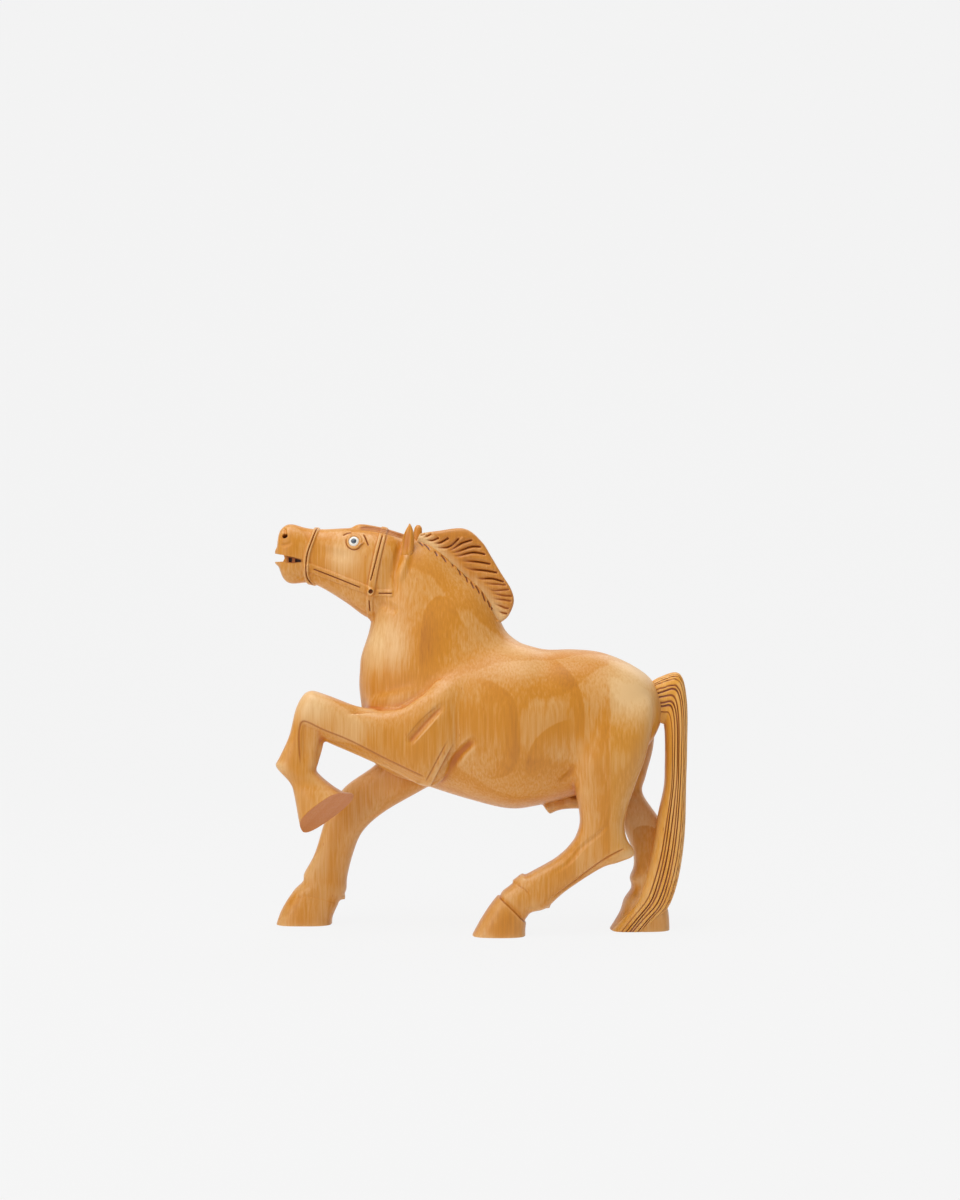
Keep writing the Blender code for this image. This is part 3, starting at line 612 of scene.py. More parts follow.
def fused(name: str, objects: Sequence[Object], voxel: float) -> Object:
    """Several closed bodies melted into one even skin of small squares.

    Args:
        name: The skin's name.
        objects: The bodies, which are removed.
        voxel: The spacing of the squares, in millimetres.

    Returns:
        The skin.
    """
    body = joined(name, objects)
    remesh = body.modifiers.new("fuse", "REMESH")
    remesh.mode = "VOXEL"
    remesh.voxel_size = voxel * MM
    return apply_modifiers(body)


def refine(obj: Object, chosen: np.ndarray, longest: float) -> None:
    """Divide the edges whose two ends are both chosen.

    Args:
        obj: The object to refine.
        chosen: Whether each vertex is in the finer area.
        longest: Edges up to this long, in millimetres, stay as they are.
    """
    bm = bmesh_of(obj)
    edges = [edge for edge in bm.edges if all(chosen[vert.index] for vert in edge.verts)
             and edge.calc_length() > longest * MM]
    bmesh.ops.subdivide_edges(bm, edges=edges, cuts=1, use_grid_fill=True)
    write_back(bm, obj)


def refine_near(obj: Object, strokes: Sequence[Stroke], longest: float) -> None:
    """Divide the skin along the strokes, so that they are cut cleanly.

    Args:
        obj: The skin.
        strokes: The strokes; the widest ones need no finer skin.
        longest: Edges up to this long, in millimetres, stay as they are.
    """
    surface = Surface(obj.data)
    chosen = np.zeros(len(surface.places), dtype=bool)
    for stroke in strokes:
        if stroke.half > WIDEST_REFINED:
            continue
        rim = stroke.half + REFINED
        index = stroke.near_to(surface.places, rim)
        distance, _, _ = stroke.measure(surface.places[index][:, (0, 2)])
        chosen[index[distance < rim]] = True
    refine(obj, chosen, longest)


@dataclass(frozen=True)
class GluePlane:
    """A flat joint seen edge-on in the side view.

    Attributes:
        line: Its two ends.
        y_range: The lowest and highest Y that it crosses.
    """
    line: tuple[Point, Point]
    y_range: Point = (-60.0, 60.0)

    def part(self, bm: BMesh) -> None:
        """Cut the skin along the joint, part the two sides and close both.

        Args:
            bm: The skin.
        """
        (x1, z1), (x2, z2) = self.line
        origin = Vector((x1, 0, z1)) * MM
        way = Vector((x2 - x1, 0, z2 - z1)) * MM
        length = way.length
        way.normalize()
        normal = Vector((-way.z, 0, way.x))
        low, high = (y * MM for y in self.y_range)
        heights = {vert: (vert.co - origin).dot(normal) for vert in bm.verts}
        crossed = []
        for face in bm.faces:
            values = [heights[vert] for vert in face.verts]
            if min(values) >= 0 or max(values) <= 0:
                continue
            inside = True
            for edge in face.edges:
                one, two = edge.verts
                if heights[one] * heights[two] >= 0:
                    continue
                share = heights[one] / (heights[one] - heights[two])
                place = one.co.lerp(two.co, share)
                along = (place - origin).dot(way)
                inside &= 0 <= along <= length and low <= place.y <= high
            if inside:
                crossed.append(face)
        cut = bmesh.ops.bisect_plane(bm, geom=whole(crossed), dist=ON_PLANE, plane_co=origin,
                                     plane_no=normal)["geom_cut"]
        bmesh.ops.split_edges(bm, edges=edges_in(cut))
        close_holes(bm)


def stand_flat(bm: BMesh) -> None:
    """Cut off what is below the ground and close the cut.

    Args:
        bm: The mesh that is cut.
    """
    everything = list(bm.verts) + list(bm.edges) + list(bm.faces)
    bmesh.ops.bisect_plane(bm, geom=everything, dist=ON_PLANE, plane_co=(0, 0, 0),
                           plane_no=(0, 0, -1), clear_outer=True)
    close_holes(bm)


def islands(bm: BMesh) -> list[set[BMVert]]:
    """Find a mesh's separate bodies.

    Args:
        bm: The mesh.

    Returns:
        The vertices of each, in the order of their first ones.
    """
    waiting = set(bm.verts)
    found = []
    for first in bm.verts:
        if first not in waiting:
            continue
        waiting.discard(first)
        front = [first]
        island = set(front)
        while front:
            for edge in front.pop().link_edges:
                for vert in edge.verts:
                    if vert in waiting:
                        waiting.discard(vert)
                        island.add(vert)
                        front.append(vert)
        found.append(island)
    return found


def tree_of(obj: Object) -> BVHTree:
    """Sort an object's faces for quick searches.

    Args:
        obj: The object.

    Returns:
        The tree of its faces.
    """
    bm = bmesh_of(obj)
    tree = BVHTree.FromBMesh(bm)
    bm.free()
    return tree


def contains(obj: Object, place: Vector) -> bool:
    """Whether a closed body holds a place, by counting its walls along a ray.

    Args:
        obj: The body.
        place: The place, in metres.

    Returns:
        Whether the place is inside.
    """
    tree = tree_of(obj)
    slanted = Vector((0.13, 0.97, 0.21)).normalized()
    walls = 0
    while (hit := tree.ray_cast(place, slanted)[0]) is not None:
        walls += 1
        place = hit + slanted * SAME_PLACE
    return walls % 2 == 1


def skin_at(obj: Object, x: float, z: float, side: int, reach: float = 2.0
            ) -> tuple[Vector, Vector]:
    """Where a line along Y meets one side of an object.

    Args:
        obj: The object.
        x: The place in the side view, in millimetres.
        z: The same.
        side: -1 for the near side, 1 for the far side.
        reach: How far around the place its slope is read, in millimetres.

    Returns:
        The place and the outward normal there, in metres.
    """
    tree = tree_of(obj)

    def hit(dx: float, dz: float) -> Vector:
        """The place that one line meets."""
        start = Vector(((x + dx) * MM, side * 0.1, (z + dz) * MM))
        return tree.ray_cast(start, Vector((0, -side, 0)))[0]

    across = hit(reach, 0) - hit(-reach, 0)
    upward = hit(0, reach) - hit(0, -reach)
    normal = across.cross(upward).normalized()
    return hit(0, 0), normal if normal.y * side > 0 else -normal


def cylinder(name: str, centre: Vector, axis: Vector, diameter: float, length: float,
             segments: int = 32) -> Object:
    """A round bar.

    Args:
        name: Its name.
        centre: Its middle, in metres.
        axis: The way it lies.
        diameter: In millimetres.
        length: In millimetres.
        segments: How many sides it has.

    Returns:
        The object.
    """
    bm = bmesh.new()
    bmesh.ops.create_cone(bm, cap_ends=True, segments=segments, radius1=diameter / 2 * MM,
                          radius2=diameter / 2 * MM, depth=length * MM)
    place_on(bm, centre, axis)
    return object_from(name, bm)


def prism(name: str, outline: Sequence[Point], low_y: float, high_y: float) -> Object:
    """A closed outline in the side view, extruded across Y.

    Args:
        name: The body's name.
        outline: Its corners.
        low_y: Where it starts, in millimetres.
        high_y: Where it ends.

    Returns:
        The body.
    """
    bm = bmesh.new()
    near = [bm.verts.new((x * MM, low_y * MM, z * MM)) for x, z in outline]
    face = bm.faces.new(near)
    far = bmesh.ops.extrude_face_region(bm, geom=[face])["geom"]
    bmesh.ops.translate(bm, verts=verts_in(far), vec=(0, (high_y - low_y) * MM, 0))
    bmesh.ops.recalc_face_normals(bm, faces=bm.faces)
    return object_from(name, bm)


def finish_piece(obj: Object, node: str, material: Material,
                 sharp: float = 60.0) -> Object:
    """Shade a finished piece, dress it and let it stand for its node.

    Args:
        obj: The piece.
        node: The node that it replaces.
        material: Its finish.
        sharp: Edges that turn by more than this many degrees stay crisp.

    Returns:
        The piece.
    """
    bm = bmesh_of(obj)
    bmesh.ops.triangulate(bm, faces=[face for face in bm.faces if len(face.verts) > 4])
    bmesh.ops.recalc_face_normals(bm, faces=bm.faces)
    write_back(bm, obj)
    obj.data.shade_smooth()
    obj.data.set_sharp_from_angle(angle=radians(sharp))
    obj.data.materials.clear()
    obj.data.materials.append(material)
    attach(obj, BODY)
    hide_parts(node)
    obj.data.calc_loop_triangles()
    log.info("%s: %d triangles, stands for %s", obj.name, len(obj.data.loop_triangles), node)
    return obj


def linear(hex_colour: str) -> tuple[float, float, float, float]:
    """An sRGB hex colour as linear RGBA."""
    channels = [int(hex_colour[i:i + 2], 16) / 255 for i in (1, 3, 5)]
    return tuple(c / 12.92 if c <= 0.04045 else ((c + 0.055) / 1.055) ** 2.4
                 for c in channels) + (1.0,)


def new_material(name: str, look: str) -> tuple[Material, NodeTree, bpy.types.Node]:
    """A new material with nodes.

    Args:
        name: Its name.
        look: Its colour in a plain viewport, as sRGB hex.

    Returns:
        The material, its nodes and its main shader.
    """
    material = bpy.data.materials.new(name)
    material.use_nodes = True
    material.diffuse_color = linear(look)
    tree = material.node_tree
    return material, tree, tree.nodes["Principled BSDF"]


def set_inputs(tree: NodeTree, node: bpy.types.Node, inputs: dict) -> None:
    """Give a node's inputs their values and links.

    Args:
        tree: The material's nodes.
        node: The node.
        inputs: A value or another node's output for each input, by name or number.
    """
    for name, value in inputs.items():
        if isinstance(value, NodeSocket):
            tree.links.new(value, node.inputs[name])
        else:
            node.inputs[name].default_value = value


def add_node(tree: NodeTree, kind: str, settings: dict | None = None,
             inputs: dict | None = None, stops: Sequence[tuple[float, str]] = ()
             ) -> bpy.types.Node:
    """Add a node with its settings and links.

    Args:
        tree: The material's nodes.
        kind: The node's type.
        settings: Values of its properties.
        inputs: A value or another node's output for each input, by name or number.
        stops: The places and colours of a colour ramp.

    Returns:
        The node.
    """
    node = tree.nodes.new(kind)
    for name, value in (settings or {}).items():
        setattr(node, name, value)
    set_inputs(tree, node, inputs or {})
    for index, (place, colour) in enumerate(stops):
        elements = node.color_ramp.elements
        stop = elements[index] if index < 2 else elements.new(place)
        stop.position = place
        stop.color = linear(colour)
    return node


def computed(tree: NodeTree, operation: str, *values: float | NodeSocket,
             clamp: bool = False) -> NodeSocket:
    """Arithmetic on values or other nodes' outputs."""
    return add_node(tree, "ShaderNodeMath", {"operation": operation, "use_clamp": clamp},
                    dict(enumerate(values))).outputs[0]


def vector_of(tree: NodeTree, operation: str,
              *values: tuple[float, float, float] | NodeSocket) -> bpy.types.Node:
    """Arithmetic on vectors or other nodes' outputs."""
    return add_node(tree, "ShaderNodeVectorMath", {"operation": operation},
                    dict(enumerate(values)))


def ranged(tree: NodeTree, value: NodeSocket, low: float, high: float,
           start: float = 0.0, end: float = 1.0, soft: bool = True) -> NodeSocket:
    """A value taken from one range to another.

    Args:
        tree: The material's nodes.
        value: Another node's output.
        low: Where the first range starts.
        high: Where it ends.
        start: What its start becomes.
        end: What its end becomes.
        soft: Whether the way between is a soft ramp rather than a straight one.

    Returns:
        The output.
    """
    return add_node(tree, "ShaderNodeMapRange",
                    {"interpolation_type": "SMOOTHSTEP" if soft else "LINEAR"},
                    {"Value": value, "From Min": low, "From Max": high,
                     "To Min": start, "To Max": end}).outputs[0]


def scaled(tree: NodeTree, place: NodeSocket,
           scale: tuple[float, float, float], shift: tuple[float, float, float] = (0, 0, 0)
           ) -> NodeSocket:
    """Places scaled along each axis, and moved."""
    return add_node(tree, "ShaderNodeMapping", {"vector_type": "POINT"},
                    {"Vector": place, "Location": shift, "Scale": scale}).outputs[0]


def kept(tree: NodeTree, name: str) -> NodeSocket:
    """A value kept on each vertex."""
    return add_node(tree, "ShaderNodeAttribute", {"attribute_name": name}).outputs["Fac"]


@dataclass(frozen=True)
class CarvedWood:
    """Limewood, carved with gouges, sanded and given one thin coat of satin varnish.

    The sanding leaves wide soft growth rings that follow the shape, a fine upright fibre
    and a few dark flecks. Painted shade turns the hollows a deep orange, partly the varnish
    that pools there, and is almost brown in the tool's narrow lines and in openings; a
    painted highlight, partly wear, makes the ridges paler.
    """
    name: str
    early: str = "#EBC086"
    middle: str = "#D0861C"
    late: str = "#A85E0C"
    # Painted colours: deep is painted shade in hollows, and also the wood's own dark flecks; the
    # pale ridge colour is a painted highlight, partly wear; the orange and near-brown after it are
    # painted shade in cuts, partly varnish.
    deep: str = "#C0670F"
    wear_and_highlight: str = "#EDC48C"
    soaked_and_shaded: str = "#A5570F"
    line: str = "#4A1D08"
    pith: Point = (-10.0, 150.0)
    ring_spacing: float = 10.0
    fibre_width: float = 0.9
    fibre_length: float = 26.0
    roughness: float = 0.42
    ring_share: float = 0.16

    def growth(self, tree: NodeTree, mm: NodeSocket) -> NodeSocket:
        """The growth rings: a slow rise to the late wood and a quick fall, here and there.

        Args:
            tree: The material's nodes.
            mm: The place, in millimetres.

        Returns:
            How much late wood there is.
        """
        centred = scaled(tree, mm, (1.0, 1.0, 0.06), (-self.pith[0], -self.pith[1], 0.0))
        wander = add_node(tree, "ShaderNodeTexNoise", None,
                          {"Vector": centred, "Scale": 0.045, "Detail": 2.0}).outputs["Color"]
        offset = vector_of(tree, "MULTIPLY_ADD", wander, (9.0, 9.0, 0.0), centred).outputs[0]
        flat = vector_of(tree, "MULTIPLY", offset, (1.0, 1.0, 0.0)).outputs[0]
        radius = vector_of(tree, "LENGTH", flat).outputs["Value"]
        ring = computed(tree, "FRACT", computed(tree, "DIVIDE", radius, self.ring_spacing))
        late_start, late_end = 0.25, 0.92
        late = computed(tree, "MULTIPLY", ranged(tree, ring, late_start, late_end),
                        ranged(tree, ring, late_end, 1.0, 1.0, 0.0))
        patch = add_node(tree, "ShaderNodeTexNoise", None,
                         {"Vector": mm, "Scale": 0.022, "Detail": 3.0}).outputs["Fac"]
        strength = ranged(tree, patch, 0.35, 0.65, 0.08, self.ring_share, soft=False)
        return computed(tree, "MULTIPLY", late, strength)

    def bare(self, tree: NodeTree, mm: NodeSocket, fibre: NodeSocket) -> NodeSocket:
        """The bare wood's colour: rings, fibre, and the tone kept on each vertex.

        Args:
            tree: The material's nodes.
            mm: The place, in millimetres.
            fibre: The fibre's pattern.

        Returns:
            The colour.
        """
        fine = computed(tree, "MULTIPLY_ADD", fibre, 0.6, 0.08)
        late = computed(tree, "ADD", self.growth(tree, mm), kept(tree, "tone"))
        amount = computed(tree, "ADD", late, fine, clamp=True)
        return add_node(tree, "ShaderNodeValToRGB", None, {"Fac": amount},
                        stops=((0.0, self.early), (1.0, self.late), (0.5, self.middle))
                        ).outputs["Color"]

    def varnish_and_painted_light(self, tree: NodeTree, mm: NodeSocket, colour: NodeSocket) -> NodeSocket:
        """The colour with painted shade and highlight laid over it, partly the varnish, each layer
        tinting it in turn.

        Args:
            tree: The material's nodes.
            mm: The place, in millimetres.
            colour: The bare wood's colour.

        Returns:
            The finished colour.
        """
        hollow = kept(tree, "hollow")
        shade_and_varnish = kept(tree, "shade_and_varnish")
        cells = add_node(tree, "ShaderNodeTexVoronoi", {"feature": "F1"},
                         {"Vector": scaled(tree, mm, (0.55, 0.55, 0.16)), "Scale": 0.35,
                          "Randomness": 1.0}).outputs["Distance"]
        # Painted highlight on ridges, partly wear; painted shade in hollows, partly pooled
        # varnish; the wood's own dark flecks; painted shade in cuts and openings, partly varnish,
        # orange then almost brown.
        layers = (
            (ranged(tree, hollow, 0.0, -1.0, 0.0, 0.5), self.wear_and_highlight),
            (ranged(tree, hollow, 0.0, 1.0, 0.0, 0.8), self.deep),
            (ranged(tree, cells, 0.03, 0.075, 0.55, 0.0), self.deep),
            (ranged(tree, shade_and_varnish, 0.0, 0.5), self.soaked_and_shaded),
            (ranged(tree, shade_and_varnish, 0.4, 1.0), self.line),
        )
        for amount, tint in layers:
            colour = add_node(tree, "ShaderNodeMix", {"data_type": "RGBA"},
                              {"Factor": amount, 6: colour, 7: linear(tint)}).outputs[2]
        return colour

    def material(self) -> Material:
        """Build the material's nodes.

        Returns:
            The material.
        """
        wood, tree, shader = new_material(self.name, self.early)
        place = add_node(tree, "ShaderNodeTexCoord").outputs["Object"]
        mm = add_node(tree, "ShaderNodeVectorMath", {"operation": "SCALE"},
                      {0: place, "Scale": 1000.0}).outputs[0]
        across = 1 / self.fibre_width
        fibre = add_node(tree, "ShaderNodeTexNoise", None,
                         {"Vector": scaled(tree, mm, (across, across, 1 / self.fibre_length)),
                          "Scale": 1.0, "Detail": 4.0, "Roughness": 0.6}).outputs["Fac"]
        bump = add_node(tree, "ShaderNodeBump", None,
                        {"Height": fibre, "Strength": 0.22, "Distance": 0.00012}).outputs[0]
        gloss = ranged(tree, fibre, 0.3, 0.7, self.roughness - 0.05, self.roughness + 0.08,
                       soft=False)
        set_inputs(tree, shader, {
            "Base Color": self.varnish_and_painted_light(tree, mm, self.bare(tree, mm, fibre)),
            "Roughness": gloss, "Normal": bump, "IOR": 1.45, "Coat Weight": 0.2,
            "Coat Roughness": 0.3,
        })
        return wood


@dataclass(frozen=True)
class Inlay:
    """Cast polyester resin, sawn into discs and polished: even in colour, with a clear gloss."""
    name: str
    colour: str
    speck: str
    roughness: float = 0.18

    def material(self) -> Material:
        """Build the material's nodes.

        Returns:
            The material.
        """
        resin, tree, shader = new_material(self.name, self.colour)
        place = add_node(tree, "ShaderNodeTexCoord").outputs["Object"]
        cloud = add_node(tree, "ShaderNodeTexNoise", None,
                         {"Vector": place, "Scale": 900.0, "Detail": 3.0}).outputs["Fac"]
        colour = add_node(tree, "ShaderNodeValToRGB", None, {"Fac": cloud},
                          stops=((0.35, self.colour), (0.75, self.speck))).outputs["Color"]
        set_inputs(tree, shader, {"Base Color": colour, "Roughness": self.roughness,
                                  "IOR": 1.56})
        return resin


# The ribs of the rough forms, in the order that Limb gives, read off the side view.
TRUNK = [
    (-58, 114, -58, 96, 0.26), (-54, 122, -55, 86, 0.52), (-43, 130, -44, 78, 0.72),
    (-27, 137, -29, 73, 0.84), (-6, 143, -7, 66, 0.95), (17, 143, 14, 61, 1.0),
    (32, 139.5, 29, 62.5, 0.97), (46, 139.5, 45, 66.5, 0.89), (58, 138.5, 58, 70, 0.85),
    (68, 135.5, 69, 76.5, 0.82), (78, 130.5, 78, 85.5, 0.72), (85.5, 124.5, 86, 95, 0.49),
    (90, 116, 90, 103, 0.23),
]
NECK = [
    (-39, 195, -53, 164, 0.45), (-24, 191.4, -55, 150, 0.59), (-6.2, 176.1, -59, 137, 0.75),
    (1.8, 168.4, -59.7, 129.5, 0.84), (8.4, 157.3, -60, 122, 0.91),
    (13.2, 148.2, -59, 112.5, 0.96), (21, 141, -57, 101, 1.0), (20, 130, -47, 92, 0.91),
]
HEAD = [
    (-101.2, 193, -100.9, 184.5, 0.29), (-100, 198.5, -99.8, 179.2, 0.5),
    (-97, 201.5, -97.6, 174.8, 0.62), (-93.5, 202, -94, 173, 0.66), (-86, 200, -86, 173.5, 0.62),
    (-78, 199.5, -79, 171, 0.66), (-66, 200, -67.5, 164, 0.86), (-52, 199.5, -56, 156, 1.0),
    (-42, 197, -47, 155.5, 0.9), (-34, 190, -39, 163, 0.5),
]
FORELOCK = [
    (-64.5, 200.5, -63.5, 198, 0.5), (-60, 202.5, -59, 197.5, 0.9), (-50, 201, -49, 195, 1.0),
    (-41, 198.5, -41, 193, 0.85), (-33, 196, -33, 191.5, 0.5),
]
UPPER_LIP = [
    (-102.3, 189.6, -102.6, 187.2, 0.55), (-100.5, 191.0, -100.5, 186.4, 0.85),
    (-94.0, 193.5, -94.0, 185.5, 1.0),
]
LOWER_LIP = [
    (-102.9, 184.2, -102.2, 182.3, 0.55), (-100.5, 184.8, -99.4, 181.0, 0.85),
    (-94.0, 185.0, -93.0, 178.0, 1.0),
]
SHEATH = [
    (55, 68, 55, 60.5, 1.0), (44, 66.5, 44, 60.5, 0.95), (37, 64.5, 38.5, 59.5, 0.85),
    (31.8, 61.2, 34.6, 57.6, 0.7),
]
NEAR_HIND_SPUR = [
    (19, 24, 26, 13, 1.0), (27, 20, 30, 14, 0.8), (34.2, 15.3, 34.6, 13.3, 0.4),
]
NEAR_HIND_KNUCKLE = [
    (28, 21, 21, 30, 1.0), (20, 21, 17.8, 27.4, 0.75), (16.6, 24.5, 16.0, 26.3, 0.35),
]
FAR_FORE_SPUR = [
    (-80, 23, -78, 12, 1.0), (-73.5, 20.5, -73, 12.5, 0.8), (-68.9, 15, -68.5, 12.6, 0.3),
]
FAR_FORE_KNUCKLE = [
    (-80, 22, -80, 31, 1.0), (-86.5, 22.5, -85.5, 28.5, 0.75), (-89, 24.6, -88.6, 26.6, 0.4),
]
RIGHT_FORELEG = [
    (-20, 116, -2, 104, 0.7, 6), (-31, 104, -7, 88, 1.0, 2), (-42, 92, -17, 75.5, 1.1, 0),
    (-53.5, 80, -30, 68, 1.05, 0), (-69, 68.5, -49, 57, 0.92, 0), (-77.5, 54.5, -60, 47, 0.88, 0),
    (-83.5, 36, -65, 35.5, 0.78, 0), (-89, 25.5, -68, 23.5, 0.77, 0),
    (-89.5, 21.5, -68.5, 17, 0.82, 0), (-94.5, 16.5, -72, 11, 0.86, 0),
    (-100.5, 7, -75.5, 3, 0.96, 0), (-103.5, -1.5, -75.5, -1.5, 1.0, 0),
]
LEFT_FORELEG = [
    (2, 125, 4, 104, 0.6, 8), (-13, 129, -10, 88, 0.9, 1.5), (-27, 119.5, -23.5, 73.5, 1.0, 0),
    (-42, 111.5, -43, 81.5, 0.9, 0), (-58, 111.5, -60, 89, 0.84, 0),
    (-75, 117.5, -76, 96, 0.82, 0), (-84, 119.5, -77.5, 98.5, 0.8, 0),
    (-89.5, 112, -77, 97, 0.75, 0), (-93, 98, -77.5, 92.5, 0.68, 0),
    (-98, 87, -80, 83.5, 0.68, 0), (-99.5, 83, -80.5, 80.5, 0.69, 0),
    (-92.5, 75, -74, 74.5, 0.67, 0), (-90.5, 69, -67, 70, 0.8, 0),
    (-88.5, 58, -62.5, 69, 0.88, 0), (-86.5, 48, -60, 60, 0.88, 0),
]
LEFT_HIND_LEG = [
    (58, 126, 78, 126, 0.6, 9), (51, 112, 85, 112, 0.85, 3), (46, 90, 81.5, 90, 1.0, 0),
    (47, 73, 75.5, 73, 0.92, 0), (49.5, 57, 70.6, 57, 0.78, 0), (47.5, 48.5, 71.6, 47.5, 0.73, 0),
    (44, 43.5, 75.6, 39.9, 0.71, 0), (40.5, 40, 68, 36, 0.68, 0), (35, 36, 59, 33, 0.65, 0),
    (21.5, 28.5, 42, 22, 0.63, 0), (14.5, 23.5, 32, 13.5, 0.69, 0), (8.5, 18.5, 24, 11, 0.72, 0),
    (2, 9.5, 22, 4, 0.8, 0), (-4, -1, 22, -1.5, 0.83, 0),
]
RIGHT_HIND_LEG = [
    (58, 124, 80, 124, 0.7, 7), (52, 108, 87.5, 108, 1.05, 1), (54, 92, 87.5, 91, 1.1, 0),
    (62, 75, 83.5, 75, 0.95, 0), (66.5, 66, 82, 66.5, 0.88, 1), (72, 51.5, 91, 52.5, 0.85, 6),
    (77, 38.5, 94, 39.5, 0.82, 10), (77.5, 31, 93, 32, 0.8, 12), (75.4, 25.5, 92.5, 25, 0.86, 13),
    (76.3, 20.5, 92, 20, 0.84, 13.2), (72.5, 14.7, 92, 15, 0.93, 13.5),
    (70.3, 8, 93.8, 9, 1.0, 13.5), (64.5, -1.5, 94.5, -1.5, 1.05, 13.5),
]
TAIL = [
    (84, 105, 82, 121, 0.5), (91, 103, 90, 126, 0.75), (92, 101.5, 99.5, 127.5, 0.9),
    (92.5, 95, 103, 114, 0.98), (92.5, 81.5, 103, 89.5, 1.0), (92, 71, 102.5, 73.5, 1.0),
    (89, 57, 102, 51.5, 1.0), (86, 40, 100.3, 35, 1.0), (82.5, 27, 97.5, 21.5, 1.0),
    (79, 17.5, 93.5, 11.5, 1.0), (72.5, 8.5, 87, 4.5, 0.98), (65.5, -0.5, 81, -2.5, 0.95),
]
EAR = [
    (-39.5, 176, -36.1, 176, 0.7, 2.2), (-39.2, 184, -34, 184, 0.9, 0.8),
    (-38.8, 190, -32.8, 190, 1.0, 0), (-38.3, 195.2, -32.6, 196.2, 0.95, 0),
    (-36.8, 199.2, -33.1, 198.9, 0.72, 0), (-35.7, 201.1, -33.9, 201.1, 0.45, 0),
    (-35.2, 202.3, -34.6, 202.3, 0.2, 0),
]
FAR_EAR = [
    (-37, 176, -31, 176, 0.7, 1.2), (-36, 183, -30, 183, 0.95, 0.3),
    (-34.8, 190, -29, 190, 1.0, 0), (-34.0, 196, -29.3, 196, 0.95, 0),
    (-33.4, 199, -29.2, 199, 0.8, 0), (-32.9, 201, -29.4, 201, 0.55, 0),
    (-31.9, 202.3, -30.4, 202.3, 0.25, 0),
]
MANE = [
    (-32, 193.2, -30, 197.6, 0.8), (-28, 190.3, -22, 198.7, 0.95), (-21.5, 185, -8, 200, 1.0),
    (-16.5, 180, 0.6, 193.6, 1.0), (-10.5, 174.5, 5.5, 185.9, 1.0), (-5, 168.5, 10.4, 177.7, 1.0),
    (-0.5, 162.5, 15.3, 169.8, 1.0), (3.5, 157, 16.7, 163.3, 1.0), (6.5, 153, 14, 156.5, 0.95),
    (8, 151.5, 10.8, 153.6, 0.8),
]
# The routes of the mane's gouge cuts, from its root to its rim, and of the nicks in the neck.
MANE_CUTS = [
    [(-31.2, 196.4), (-29.1, 197.1), (-27.5, 197.9)],
    [(-28.7, 195.6), (-26.2, 196.4), (-24.2, 197.7)],
    [(-27.9, 194.6), (-24.2, 194.2), (-22.1, 194.8), (-20.4, 195.6)],
    [(-24.2, 192.9), (-20.4, 192.9), (-18.0, 194.0), (-15.5, 195.6)],
    [(-23.3, 190.7), (-16.7, 190.7), (-13.4, 192.3), (-10.3, 195.4)],
    [(-17.6, 188.6), (-13.4, 190.0), (-9.3, 192.7), (-4.7, 194.2), (-3.5, 194.4)],
    [(-16.7, 188.2), (-12.6, 188.2), (-8.5, 189.6), (-3.9, 191.1), (1.0, 191.0)],
    [(-15.5, 186.9), (-10.9, 186.5), (-6.8, 187.6), (-2.7, 188.2), (3.1, 187.2)],
    [(-10.9, 183.8), (-4.7, 183.8), (-0.2, 183.4), (5.6, 182.4)],
    [(-9.7, 181.4), (-4.7, 179.9), (1.5, 179.3), (5.6, 178.7), (9.1, 178.1)],
    [(-3.5, 177.0), (-0.2, 175.2), (5.6, 175.2), (9.7, 174.3), (12.4, 173.5)],
    [(0.6, 172.9), (5.6, 172.5), (9.7, 172.3), (13.4, 171.9)],
    [(2.7, 170.8), (6.4, 169.2), (10.5, 169.4), (14.9, 169.8)],
    [(3.9, 168.1), (7.7, 167.5), (11.8, 166.7), (16.5, 166.5)],
    [(4.8, 165.5), (9.7, 164.8), (13.0, 164.4), (15.9, 163.8)],
    [(6.0, 163.0), (9.7, 161.7), (12.6, 160.5), (14.7, 160.3)],
    [(8.5, 159.3), (11.4, 158.0), (13.8, 157.6)],
]
NECK_NICKS = [
    [(-31.2, 194.2), (-29.5, 192.7), (-27.7, 190.9)],
    [(-28.3, 192.9), (-26.2, 191.1), (-24.4, 188.6)],
    [(-22.7, 189.0), (-21.5, 187.4), (-21.1, 185.7)],
    [(-19.6, 187.4), (-17.6, 184.9), (-16.3, 182.6)],
    [(-15.9, 185.1), (-14.0, 183.2), (-13.0, 180.3)],
    [(-11.6, 180.7), (-10.3, 179.1), (-9.3, 176.2)],
    [(-8.5, 177.9), (-6.8, 175.8), (-5.8, 172.5)], [(-4.7, 174.1), (-3.5, 171.7), (-2.5, 169.6)],
    [(-2.5, 172.1), (-0.8, 169.6), (0.0, 166.9)], [(0.8, 169.2), (1.9, 166.3), (2.9, 163.0)],
    [(3.7, 164.6), (4.6, 162.6), (5.4, 160.1)], [(6.2, 161.9), (6.0, 160.5), (6.2, 159.1)],
]
# The outline that parts the raised foreleg, with its shoulder pad, from the barrel.
FORELEG_OUTLINE = [
    (-60.5, 113), (-40, 112), (-27, 119.5), (-19, 124), (-11, 115), (-10, 98), (-24, 68),
    (-40, 76), (-57, 83), (-57, 40), (-115, 40), (-115, 130), (-62, 130),
]
